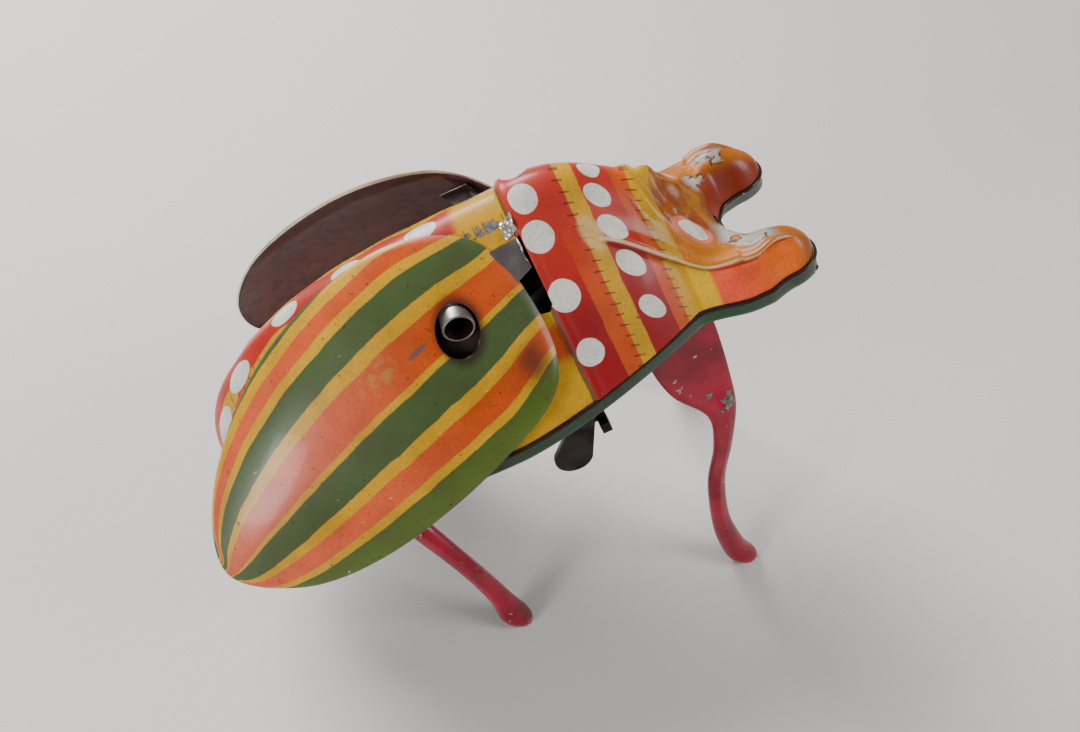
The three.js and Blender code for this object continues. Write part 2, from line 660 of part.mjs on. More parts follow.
part('frame_plate_left', framePlate(), 'steel');
part('frame_plate_right', mirrored(framePlate()), 'steel');
const PILLARS = [[-9.4, 0], [-9.6, 13.5], [24, 0.6], [23, 8]];
PILLARS.forEach(([x, z], i) => {
  part(`frame_pillar_${i + 1}`, bar(x, z, 1.1, -FRAME_INNER + GAP, FRAME_INNER - GAP, 12), 'steel');
});
part('winding_arbor', windingArbor(), 'steel');
part('mainspring', mainspring(), 'dark');
part('great_wheel', wheel(WINDING, GREAT_TEETH, greatToSecond, 1.7, 1.8, 2.8), 'brass');
part('ratchet_wheel', ratchetWheel(), 'steel');
part('click', sheet(strap(CLICK_PIVOT, aboutWinding(3.75, 72), 0.5, []), 3.1, 3.8), 'steel');
part('click_spring', clickSpring(), 'steel');
part('second_arbor', arbor(SECOND, 1, -8.1, 8.1, secondPinion), 'steel');
part('second_wheel', wheel(SECOND, WHEEL_TEETH, secondToCrank, 1.3, -6.2, -5.2), 'brass');
part('crank_shaft', arbor(CRANK, 1.3, -9.2, 9.2, crankPinion), 'steel');
part('crank_wheel', wheel(CRANK, WHEEL_TEETH, crankToEscape, 1.6, 4.2, 5.2), 'brass');
part('crank_disc_right', crankDisc(1), 'steel');
part('crank_disc_left', mirrored(crankDisc(-1)), 'steel');
part('escape_arbor', arbor(ESCAPE, 0.8, -8.1, 8.1, escapePinion), 'steel');
part('escape_wheel', escapeWheel(), 'brass');
part('pallet_anchor', palletAnchor(), 'brass');
part('pallet_arbor', bar(ANCHOR[0], ANCHOR[1], 0.8, -8.1, 8.1), 'steel');

// The toy stands with its origin on the ground, under the middle of its box.
toy.updateMatrixWorld(true);
const extent = new THREE.Box3().setFromObject(toy, true);
const centre = extent.getCenter(new THREE.Vector3());
toy.position.set(-centre.x, -centre.y, -extent.min.z);

export default toy;
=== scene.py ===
import json
import math

import bpy
from bpy.props import FloatProperty, FloatVectorProperty, IntProperty, PointerProperty
from mathutils import Matrix, Vector


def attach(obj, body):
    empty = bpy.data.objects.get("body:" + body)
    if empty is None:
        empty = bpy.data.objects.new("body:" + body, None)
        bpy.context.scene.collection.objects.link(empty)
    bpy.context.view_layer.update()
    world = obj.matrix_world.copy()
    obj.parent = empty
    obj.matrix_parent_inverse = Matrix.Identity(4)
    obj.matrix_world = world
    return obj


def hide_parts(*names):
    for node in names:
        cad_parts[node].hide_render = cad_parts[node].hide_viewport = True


bl_info = {
    "name": "Tin clockwork beetle",
    "version": (1, 0, 0),
    "blender": (4, 5, 0),
    "location": "View3D > Sidebar > Beetle",
    "description": "Builds the printed tinplate, legs and finishes of a clockwork beetle",
    "category": "Add Mesh",
}

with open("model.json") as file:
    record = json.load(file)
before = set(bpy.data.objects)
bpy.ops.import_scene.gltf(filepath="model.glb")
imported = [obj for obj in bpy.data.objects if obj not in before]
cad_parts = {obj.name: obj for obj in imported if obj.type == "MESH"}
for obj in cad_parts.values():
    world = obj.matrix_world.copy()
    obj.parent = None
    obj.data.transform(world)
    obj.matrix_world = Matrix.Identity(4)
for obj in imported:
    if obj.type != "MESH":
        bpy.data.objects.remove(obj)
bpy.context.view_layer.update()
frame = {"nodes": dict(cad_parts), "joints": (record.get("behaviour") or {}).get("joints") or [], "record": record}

# ---- the body's own frame: millimetres, head along +X, left side along +Y, seam at z = 0 ----
MM = 0.001
PIN_IN_BODY = Vector((13, -10, 16))
HINGE = next(joint for joint in frame["joints"] if joint["name"] == "right_wing_hinge")
NOSE_UP = math.atan2(-HINGE["axis"][0], HINGE["axis"][2])
BODY_TO_ROW = (
    Matrix.Translation(Vector(HINGE["pos_m"]))
    @ Matrix.Rotation(-NOSE_UP, 4, "Y")
    @ Matrix.Scale(MM, 4)
    @ Matrix.Translation(-PIN_IN_BODY)
)

TAIL_X, WIDEST_X, SEAM_X, CHEEK_X, NOTCH_X, JAW_TIP_X = -55.8, -4, 12, 33.2, 43.5, 55.6
HALF_WIDTH, CHEEK_HALF_WIDTH, RIDGE_HEIGHT, BROW_DROP = 26.4, 15.5, 29.5, 11.5
JAW_Y, JAW_HALF_WIDTH, JAW_ROOT_EXTRA, JAW_ROUND, JAW_HEIGHT = 11.9, 4.6, 1.6, 5.2, 6.8
SHELL_RISE = 0.6
BELLY_DEPTH = 3.2
BELLY_HOLE, BELLY_HOLE_RADIUS = (-30, 0, 0), 4
SEAM_FLANGE, RIM_Z = 0.3, 0.2
LEVER_Y, LEVER_SLOT = 11.3, (7.6, 11.7)
FLANK = math.radians(42)
FLANK_DOWN = Vector((0, -math.sin(FLANK), -math.cos(FLANK)))
FLANK_OUT = Vector((0, -math.cos(FLANK), math.sin(FLANK)))
WING_OFFSET, WING_CROWN, WING_CENTRE = 23.3, 4.6, (-24, 1)
WING_OUTLINE = [
    (9.2, -2), (4.5, -17), (-9.5, -22.3), (-35, -14.8), (-53.6, 3),
    (-57, 15.5), (-47, 22.6), (-32.5, 24), (-7.4, 17.9), (7, 9.8),
]
WING_TAIL, WING_FRONT = Vector((-56, 15.5)), Vector((9.5, -1.5))
WINDING = (-3.4, 21.2)
WALL_FROM = 0.84
TUBE_RADIUS, TUBE_WALL, TUBE_ROOT, TUBE_END = 2.8, 0.5, -8.1, -15.9
SHAFT_RADIUS, SHAFT_END, BORE_FLOOR = 1.4, 8.4, -9.5
LEG_PLATE_Y, LEG_SLOT, LEG_SLOT_HALF = 12.6, (19.4, 38.8), 1.2
STANCE = 49.75
EYE_X, EYE_V, ARC_AT_EYE = 37.6, 0.46, 18.5
PRINTED_EYE = (37.8, 8.9)
PLATE_THICKNESS = 0.3
WELD_WITHIN, NO_LENGTH = 0.00002, 0.000001
CAMERA_LENS, SENSOR_WIDTH = 38.3, 36
CAMERA_SWING, CAMERA_TIP = math.radians(14.8), math.radians(44.55)
CAMERA_FROM_SEAM = Vector((-32.8, -150, 143.5))
PRINT_SPAN = (120, 60)
WING_SPAN = 60


def smooth(low, high, value):
    t = min(1, max(0, (value - low) / (high - low)))
    return t * t * (3 - 2 * t)


def mix(a, b, t):
    return a + (b - a) * t


def hump(value, centre, width):
    return math.exp(-(((value - centre) / width) ** 2))


# ---- the shapes of the body ----
def station(a):
    """A place along the body, for a from 0 to 1; the places are closer together at both ends."""
    return mix(TAIL_X, JAW_TIP_X, (1 - math.cos(math.pi * a)) / 2)


def jaw_half(x):
    t = max(0, (x - (JAW_TIP_X - JAW_ROUND)) / JAW_ROUND)
    root = JAW_ROOT_EXTRA * (1 - smooth(NOTCH_X, JAW_TIP_X - JAW_ROUND, x))
    return (JAW_HALF_WIDTH + root) * math.sqrt(max(0.0004, 1 - t * t))


def outer_edge(x):
    if x <= WIDEST_X:
        t = min(1, (WIDEST_X - x) / (WIDEST_X - TAIL_X))
        return max(0.2, HALF_WIDTH * math.sqrt(max(0, 1 - t**2.1)))
    if x <= CHEEK_X:
        t = (x - WIDEST_X) / (CHEEK_X - WIDEST_X)
        return mix(HALF_WIDTH, CHEEK_HALF_WIDTH, t**1.55)
    return min(CHEEK_HALF_WIDTH + 2.2 * smooth(CHEEK_X, CHEEK_X + 10, x), JAW_Y + jaw_half(x))


def inner_edge(x):
    if x <= NOTCH_X:
        return 0
    return max(0.01, JAW_Y - jaw_half(x)) * smooth(NOTCH_X - 2, NOTCH_X + 3, x)


def shell_height(x, v):
    """Height over the seam; v runs from the middle, or a jaw's inner edge, at 0 to the outer edge."""
    if x < 0:
        ridge = RIDGE_HEIGHT * math.sqrt(max(0, 1 - (x / (TAIL_X - 0.1)) ** 2.6))
    else:
        ridge = RIDGE_HEIGHT - BROW_DROP * smooth(SEAM_X + 4, NOTCH_X - 2, x)
    gable = ridge * (1 - v**1.6)
    if x < CHEEK_X:
        return gable
    t = min(1, max(0, (x - 47) / (JAW_TIP_X - 47)))
    inwards = smooth(40.5, NOTCH_X, x) if v < 0.5 else 1
    jaw = JAW_HEIGHT * math.sqrt(1 - t * t) * (1 - abs(2 * v - 1) ** 2.6 * inwards)
    return mix(gable, jaw, smooth(CHEEK_X, NOTCH_X + 0.5, x))


def crease_at(x):
    """Where, from 0 in the middle to 1 at the edge, the folded lip of the face runs."""
    return mix(0.46, 0.78, smooth(21, 39, x)) - 0.1 * smooth(43, 52, x)


def relief(x, v):
    """How far the pressed details stand out of the plain shell, in millimetres."""
    step = 0.75 * smooth(SEAM_X - 0.9, SEAM_X - 0.5, x) * (1 - smooth(24, 36, x))
    bead = 0.3 * hump(x, SEAM_X + 0.3, 0.7)
    lip = smooth(20, 30, x) * (1 - smooth(48, 53.5, x))
    below = v - crease_at(x)
    roll = 1.5 * hump(below, -0.02, 0.05) * (1 - smooth(-0.01, 0.03, below))
    fold = lip * (roll + 0.4 * hump(below, -0.13, 0.1))
    depth = mix(0.12, 1.9, smooth(37, 42, x))
    cheek = -depth * lip * smooth(-0.012, 0.035, below) * (1 - smooth(0.82, 1, v))
    brow = smooth(29, 32, x) * (1 - smooth(38, 42, x)) * (1 - smooth(0.34, 0.5, v))
    waves = 0.42 * brow * (0.55 + math.sin(2 * math.pi * (x - 30 - 6 * v) / 3.4))
    from_eye = math.hypot(x - EYE_X, ARC_AT_EYE * (v - EYE_V))
    eye = 0.9 * max(0, 1 - (from_eye / 2.3) ** 2) + 0.35 * hump(from_eye, 2.9, 0.5)
    snout = 0.9 * hump(v, 0, 0.1) * smooth(30, 35, x) * (1 - smooth(42, 44, x))
    dents = 0.1 * math.sin(0.41 * x) * math.cos(5 * v + 0.2 * x) * (1 - smooth(0.85, 1, v))
    return step + bead + fold + cheek + waves + eye + snout + dents


def shell_point(x, v, side):
    """A point of the shell's outer face, with its pressed relief laid along the face's normal."""
    def plain(px, pv):
        return Vector((px, mix(inner_edge(px), outer_edge(px), pv), shell_height(px, pv)))

    along = plain(min(JAW_TIP_X, x + 0.05), v) - plain(max(TAIL_X, x - 0.05), v)
    across = plain(x, min(1, v + 0.01)) - plain(x, max(0, v - 0.01))
    normal = along.cross(across)
    normal = normal.normalized() if normal.length > 1e-6 else Vector((0, 0, 1))
    if v < 0.001 and inner_edge(x) == 0:
        normal = Vector((normal.x, 0, normal.z)).normalized()
    at_end = smooth(TAIL_X, TAIL_X + 2, x) * (1 - smooth(JAW_TIP_X - 2, JAW_TIP_X, x))
    point = plain(x, v) + normal * relief(x, v) * at_end + Vector((0, 0, SHELL_RISE))
    point.y *= side
    return point


def arc_lengths(x, steps=48):
    """Distances over the plain shell, from its middle to each of `steps` places across it."""
    lengths = [0]
    for k in range(steps):
        y = [mix(inner_edge(x), outer_edge(x), (k + i) / steps) for i in (0, 1)]
        z = [shell_height(x, (k + i) / steps) for i in (0, 1)]
        lengths.append(lengths[-1] + math.hypot(y[1] - y[0], z[1] - z[0]))
    return lengths


# ---- the shape of a wing ----
def wing_edge(t):
    """A closed centripetal curve through the outline's points; t runs once round it."""
    count = len(WING_OUTLINE)
    place = (t % 1) * count
    index = int(place)
    weight = place - index
    p = [Vector(WING_OUTLINE[(index + k - 1) % count]) for k in range(4)]
    d = [math.sqrt((p[k + 1] - p[k]).length) for k in range(3)]
    leave = ((p[1] - p[0]) / d[0] - (p[2] - p[0]) / (d[0] + d[1]) + (p[2] - p[1]) / d[1]) * d[1]
    arrive = ((p[2] - p[1]) / d[1] - (p[3] - p[1]) / (d[1] + d[2]) + (p[3] - p[2]) / d[2]) * d[1]
    cubic = 2 * p[1] - 2 * p[2] + leave + arrive
    square = -3 * p[1] + 3 * p[2] - 2 * leave - arrive
    return cubic * weight**3 + square * weight**2 + leave * weight + p[1]


def wing_flat(r, t):
    return Vector(WING_CENTRE).lerp(wing_edge(t), r)


def wing_point(r, t):
    x, down = wing_flat(r, t)
    out = WING_OFFSET + WING_CROWN * (1 - r**2.4) - 0.35 * smooth(0.985, 1, r)
    return Vector((x, 0, 0)) + FLANK_DOWN * down + FLANK_OUT * out


def wing_print(r, t):
    """The print's own coordinates: across the stripes, in millimetres at full width, and along."""
    along = (WING_FRONT - WING_TAIL).normalized()
    from_tail = wing_flat(r, t) - WING_TAIL
    length = (WING_FRONT - WING_TAIL).length
    p = min(1, max(0.004, from_tail.dot(along) / length))
    lateral = from_tail.dot(Vector((-along.y, along.x)))
    centre = -9 * (1 - (1 - min(p, 0.85) / 0.85) ** 2) ** 0.8
    spread = (1 - (1 - min(p, 0.7) / 0.7) ** 2) ** 0.4 * (1 - 0.2 * smooth(0.76, 1.02, p))
    across = (lateral - centre) / spread
    return max(-29, min(29, across)), p


def left_wing_stands_open():
    turn = Matrix.Rotation(math.radians(-8), 4, "Y") @ Matrix.Rotation(math.radians(-14), 4, "Z")
    turn = turn @ Matrix.Rotation(math.radians(-18), 4, "X")
    return Matrix.Translation((8, 17.6, 20.8)) @ turn @ Matrix.Translation((-8, -13.5, -20))


# ---- modelling helpers ----
def select_only(*pieces):
    bpy.ops.object.select_all(action="DESELECT")
    for piece in pieces:
        piece.select_set(True)
    bpy.context.view_layer.objects.active = pieces[0]


def named(piece, name):
    piece.name = name
    piece.data.name = name
    return piece


def grid_sheet(name, columns, rows, point, uv, **more_maps):
    """A grid primitive laid on a surface; point and the maps take two places from 0 to 1."""
    bpy.ops.object.select_all(action="DESELECT")
    bpy.ops.mesh.primitive_grid_add(x_subdivisions=columns, y_subdivisions=rows, size=1)
    piece = named(bpy.context.object, name)
    mesh = piece.data
    mesh.uv_layers[0].name = "print"
    for map_name, laid in (("print", uv), *more_maps.items()):
        layer = mesh.uv_layers.get(map_name) or mesh.uv_layers.new(name=map_name)
        for loop in mesh.loops:
            flat = mesh.vertices[loop.vertex_index].co
            layer.data[loop.index].uv = laid(flat.x + 0.5, flat.y + 0.5)
    for vertex in mesh.vertices:
        vertex.co = BODY_TO_ROW @ point(vertex.co.x + 0.5, vertex.co.y + 0.5)
    return piece


def mirrored_sheet(name, columns, rows, point, uv, **more_maps):
    """Two joined grid sheets, one for each side; point also takes the side, -1 or 1."""
    halves = [grid_sheet(name, columns, rows, lambda a, b, s=side: point(a, b, s), uv, **more_maps)
              for side in (-1, 1)]
    select_only(*halves)
    bpy.ops.object.join()
    return halves[0]


def edit_whole(piece, *steps):
    """Runs mesh operators, in edit mode, on the whole of a piece."""
    select_only(piece)
    bpy.ops.object.mode_set(mode="EDIT")
    bpy.ops.mesh.select_all(action="SELECT")
    for step in steps:
        step()
    bpy.ops.object.mode_set(mode="OBJECT")


def weld(piece, outwards):
    """Merges doubled points and points the faces the way `outwards` says, in the body's frame."""
    edit_whole(piece, lambda: bpy.ops.mesh.remove_doubles(threshold=WELD_WITHIN),
               lambda: bpy.ops.mesh.dissolve_degenerate(threshold=NO_LENGTH),
               lambda: bpy.ops.mesh.normals_make_consistent(inside=False))
    if outwards is not None:
        wanted = (BODY_TO_ROW.to_3x3() @ outwards).normalized()
        facing = sum(face.normal.dot(wanted) * face.area for face in piece.data.polygons)
        if facing < 0:
            edit_whole(piece, bpy.ops.mesh.flip_normals)


def apply_modifier(piece, kind, **settings):
    select_only(piece)
    modifier = piece.modifiers.new(kind.title(), kind)
    for key, value in settings.items():
        setattr(modifier, key, value)
    bpy.ops.object.modifier_apply(modifier=modifier.name)


def thicken(piece, thickness, inside=0, edge=0):
    """Gives a sheet its thickness; inside and edge are the material slots of those faces."""
    for _ in range(max(inside, edge) + 1):
        piece.data.materials.append(None)
    apply_modifier(piece, "SOLIDIFY", thickness=thickness * MM, offset=-1, use_even_offset=False,
                   material_offset=inside, material_offset_rim=edge)


def smooth_by_angle(piece, degrees=35):
    select_only(piece)
    bpy.ops.object.shade_smooth_by_angle(angle=math.radians(degrees))


def box_cutter(x0, x1, y0, y1, z0, z1):
    bpy.ops.object.select_all(action="DESELECT")
    bpy.ops.mesh.primitive_cube_add(size=1)
    cutter = bpy.context.object
    stretch = Matrix.Diagonal((x1 - x0, y1 - y0, z1 - z0, 1))
    middle = Matrix.Translation(((x0 + x1) / 2, (y0 + y1) / 2, (z0 + z1) / 2))
    cutter.data.transform(BODY_TO_ROW @ middle @ stretch)
    return cutter


def round_cutter(centre, radius, depth, along_y=False, stretch_x=1):
    bpy.ops.object.select_all(action="DESELECT")
    bpy.ops.mesh.primitive_cylinder_add(vertices=48, radius=radius, depth=depth)
    cutter = bpy.context.object
    turn = Matrix.Rotation(math.radians(90), 4, "X") if along_y else Matrix()
    stretch = Matrix.Diagonal((stretch_x, 1, 1, 1))
    cutter.data.transform(BODY_TO_ROW @ Matrix.Translation(centre) @ stretch @ turn)
    return cutter


def cut_out(piece, cutters):
    for cutter in cutters:
        apply_modifier(piece, "BOOLEAN", operation="DIFFERENCE", solver="EXACT", object=cutter)
        bpy.data.objects.remove(cutter)


def finish_piece(piece, body, material, slot, *nodes, also=()):
    """Gives a piece its materials, its body and the CAD nodes whose place it takes; its slot is not used."""
    used = [face.material_index for face in piece.data.polygons]
    piece.data.materials.clear()
    for each in (material, *also):
        piece.data.materials.append(each)
    for face, index in zip(piece.data.polygons, used):
        face.material_index = min(index, len(also))
    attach(piece, body)
    if nodes:
        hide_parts(*nodes)


def refined(node, name, bevel, body_name, material, slot):
    """A merged copy of a CAD node with its edges broken, which takes the node's place."""
    mesh = frame["nodes"][node].data.copy()
    piece = bpy.data.objects.new(name, mesh)
    bpy.context.scene.collection.objects.link(piece)
    weld(piece, None)
    edit_whole(piece, lambda: bpy.ops.mesh.dissolve_limited(angle_limit=math.radians(2)))
    apply_modifier(piece, "BEVEL", width=bevel * MM, segments=2, limit_method="ANGLE",
                   angle_limit=math.radians(40))
    smooth_by_angle(piece)
    named(piece, name)
    finish_piece(piece, body_name, material, slot, node)
    return piece


# ---- material helpers ----
def linear(red, green, blue):
    """A colour given as on a paint card, from 0 to 255, as Blender's linear values."""
    def channel(value):
        value /= 255
        return value / 12.92 if value <= 0.04045 else ((value + 0.055) / 1.055) ** 2.4
    return (channel(red), channel(green), channel(blue), 1)


class Graph:
    """A short way to write the nodes of one tree."""

    def __init__(self, tree):
        self.tree = tree

    def node(self, kind, **settings):
        made = self.tree.nodes.new(kind)
        for key, value in settings.items():
            setattr(made, key, value)
        return made

    def feed(self, socket, value):
        if isinstance(value, bpy.types.NodeSocket):
            self.tree.links.new(value, socket)
        else:
            socket.default_value = value

    def math(self, operation, *values, clamp=False):
        made = self.node("ShaderNodeMath", operation=operation, use_clamp=clamp)
        for socket, value in zip(made.inputs, values):
            self.feed(socket, value)
        return made.outputs[0]

    def times(self, a, b):
        return self.math("MULTIPLY", a, b)

    def plus(self, a, b):
        return self.math("ADD", a, b)

    def minus(self, a, b):
        return self.math("SUBTRACT", a, b)

    def mix(self, factor, under, over):
        made = self.node("ShaderNodeMix", data_type="RGBA", clamp_factor=True)
        self.feed(made.inputs[0], factor)
        self.feed(made.inputs[6], under)
        self.feed(made.inputs[7], over)
        return made.outputs[2]

    def blend(self, factor, under, over):
        made = self.node("ShaderNodeMix", data_type="FLOAT", clamp_factor=True)
        self.feed(made.inputs[0], factor)
        self.feed(made.inputs[2], under)
        self.feed(made.inputs[3], over)
        return made.outputs[0]

    def ramp(self, value, low, high):
        made = self.node("ShaderNodeMapRange", interpolation_type="SMOOTHSTEP", clamp=True)
        self.feed(made.inputs[0], value)
        self.feed(made.inputs[1], low)
        self.feed(made.inputs[2], high)
        return made.outputs[0]

    def noise(self, scale, detail=3, stretch=(1, 1, 1), turn=0, roughness=0.55):
        place = self.node("ShaderNodeMapping")
        place.inputs["Scale"].default_value = stretch
        place.inputs["Rotation"].default_value = (0, 0, turn)
        self.feed(place.inputs["Vector"], self.node("ShaderNodeTexCoord").outputs["Object"])
        made = self.node("ShaderNodeTexNoise")
        self.feed(made.inputs["Vector"], place.outputs[0])
        made.inputs["Scale"].default_value = scale
        made.inputs["Detail"].default_value = detail
        made.inputs["Roughness"].default_value = roughness
        return made.outputs["Fac"]

    def band(self, value, low, high, soft=0.12):
        rise = self.ramp(value, low - soft, low + soft)
        fall = self.ramp(value, high - soft, high + soft)
        return self.math("SUBTRACT", rise, fall, clamp=True)

    def oval(self, x, y, centre, radii, soft=0.06):
        dx = self.math("DIVIDE", self.math("SUBTRACT", x, centre[0]), radii[0])
        dy = self.math("DIVIDE", self.math("SUBTRACT", y, centre[1]), radii[1])
        apart = self.math("ADD", self.math("MULTIPLY", dx, dx), self.math("MULTIPLY", dy, dy))
        inside = self.ramp(apart, 1 - soft, 1 + soft)
        return self.math("SUBTRACT", 1, inside, clamp=True)


def new_group(name, **sockets):
    """An empty node group; INPUT and OUTPUT list its colour sockets, then its number sockets."""
    group = bpy.data.node_groups.new(name, "ShaderNodeTree")
    for in_out, (colours, numbers) in sockets.items():
        for names, kind in ((colours, "NodeSocketColor"), (numbers, "NodeSocketFloat")):
            for socket in names:
                group.interface.new_socket(socket, in_out=in_out, socket_type=kind)
    return group


def wear_group():
    """Paint or print that has aged: specks, blotches, scratches and chips down to the bare tin."""
    group = new_group("aged_tinplate", INPUT=(["Colour"], ["Chips", "Specks", "Scratches", "Gloss"]),
                      OUTPUT=(["Colour"], ["Roughness", "Metallic", "Height"]))
    g = Graph(group)
    given = g.node("NodeGroupInput").outputs
    blotch = g.noise(140, 4)
    shade = g.ramp(blotch, 0.3, 0.72)
    colour = g.mix(g.times(shade, 0.28), given["Colour"], linear(60, 28, 12))
    mottle = g.times(g.ramp(g.noise(2400, 2), 0.42, 0.7), 0.2)
    colour = g.mix(mottle, colour, linear(70, 44, 24))
    speck_field = g.noise(1100, 2, roughness=0.7)
    speck_cut = g.minus(0.8, g.times(given["Specks"], 0.16))
    specks = g.ramp(speck_field, speck_cut, g.plus(speck_cut, 0.03))
    colour = g.mix(g.times(specks, 0.75), colour, linear(38, 22, 14))
    scratch_field = g.noise(420, 2, (1, 7, 1), 0.7)
    scratch_cut = g.minus(0.82, g.times(given["Scratches"], 0.14))
    scratches = g.ramp(scratch_field, scratch_cut, g.plus(scratch_cut, 0.02))
    colour = g.mix(g.times(scratches, 0.55), colour, linear(214, 196, 178))
    chip_field = g.noise(330, 6, roughness=0.62)
    chip_cut = g.minus(0.86, g.times(given["Chips"], 0.3))
    burnt = g.ramp(chip_field, g.minus(chip_cut, 0.025), chip_cut)
    chips = g.ramp(chip_field, chip_cut, g.plus(chip_cut, 0.008))
    colour = g.mix(burnt, colour, linear(34, 26, 22))
    tin = g.mix(g.ramp(speck_field, 0.4, 0.6), linear(112, 108, 104), linear(150, 146, 141))
    colour = g.mix(chips, colour, tin)
    rough = g.blend(g.ramp(g.noise(60, 4), 0.35, 0.7), given["Gloss"], g.plus(given["Gloss"], 0.16))
    rough = g.blend(chips, rough, 0.5)
    height = g.minus(g.times(blotch, 0.35), g.times(chips, 0.5))
    height = g.minus(height, g.times(specks, 0.15))
    out = g.node("NodeGroupOutput")
    for name, value in (("Colour", colour), ("Roughness", rough), ("Height", height),
                        ("Metallic", g.times(chips, 0.85))):
        g.feed(out.inputs[name], value)
    return group


def metal_group():
    """Bare metal: a brushed grain with tarnish gathered in patches."""
    group = new_group("tarnished_metal", INPUT=(["Bright", "Tarnish"], ["Amount"]),
                      OUTPUT=(["Colour"], ["Roughness", "Height"]))
    g = Graph(group)
    given = g.node("NodeGroupInput").outputs
    patches = g.ramp(g.noise(260, 5), 0.35, 0.7)
    grain = g.noise(700, 3, (1, 9, 1))
    stain = g.times(patches, given["Amount"])
    colour = g.mix(stain, given["Bright"], given["Tarnish"])
    colour = g.mix(g.times(grain, 0.2), colour, linear(30, 27, 24))
    out = g.node("NodeGroupOutput")
    g.feed(out.inputs["Colour"], colour)
    g.feed(out.inputs["Roughness"], g.blend(stain, g.plus(0.22, g.times(grain, 0.2)), 0.62))
    g.feed(out.inputs["Height"], grain)
    return group


def start_material(name):
    material = bpy.data.materials.new(name)
    material.use_nodes = True
    g = Graph(material.node_tree)
    return material, g, material.node_tree.nodes["Principled BSDF"]


def finish_surface(g, shader, colour, rough, height, depth, metallic=None):
    bump = g.node("ShaderNodeBump")
    bump.inputs["Strength"].default_value = 0.6
    bump.inputs["Distance"].default_value = depth * MM
    g.feed(bump.inputs["Height"], height)
    g.feed(shader.inputs["Base Color"], colour)
    g.feed(shader.inputs["Roughness"], rough)
    g.feed(shader.inputs["Normal"], bump.outputs[0])
    if metallic is not None:
        g.feed(shader.inputs["Metallic"], metallic)


def aged(g, shader, colour, chips, specks, scratches, gloss, coat=0.12):
    """Sends a print's colour through the wear group and into the shader."""
    group = g.node("ShaderNodeGroup", node_tree=bpy.data.node_groups["aged_tinplate"])
    for socket, value in zip(group.inputs, (colour, chips, specks, scratches, gloss)):
        g.feed(socket, value)
    shader.inputs["Coat Weight"].default_value = coat
    shader.inputs["Coat Roughness"].default_value = 0.1
    shader.inputs["Specular IOR Level"].default_value = 0.34
    out = group.outputs
    finish_surface(g, shader, out["Colour"], out["Roughness"], out["Height"], 0.1, out["Metallic"])


def printed_place(g, spans):
    """The piece's own print coordinates, in millimetres."""
    apart = g.node("ShaderNodeSeparateXYZ")
    g.feed(apart.inputs[0], g.node("ShaderNodeUVMap", uv_map="print").outputs[0])
    return [g.times(apart.outputs[k], spans[k]) for k in (0, 1)]


def wavy(g, value, amount, scale):
    shift = g.times(g.minus(g.noise(scale, 2), 0.5), amount)
    return g.plus(value, shift)


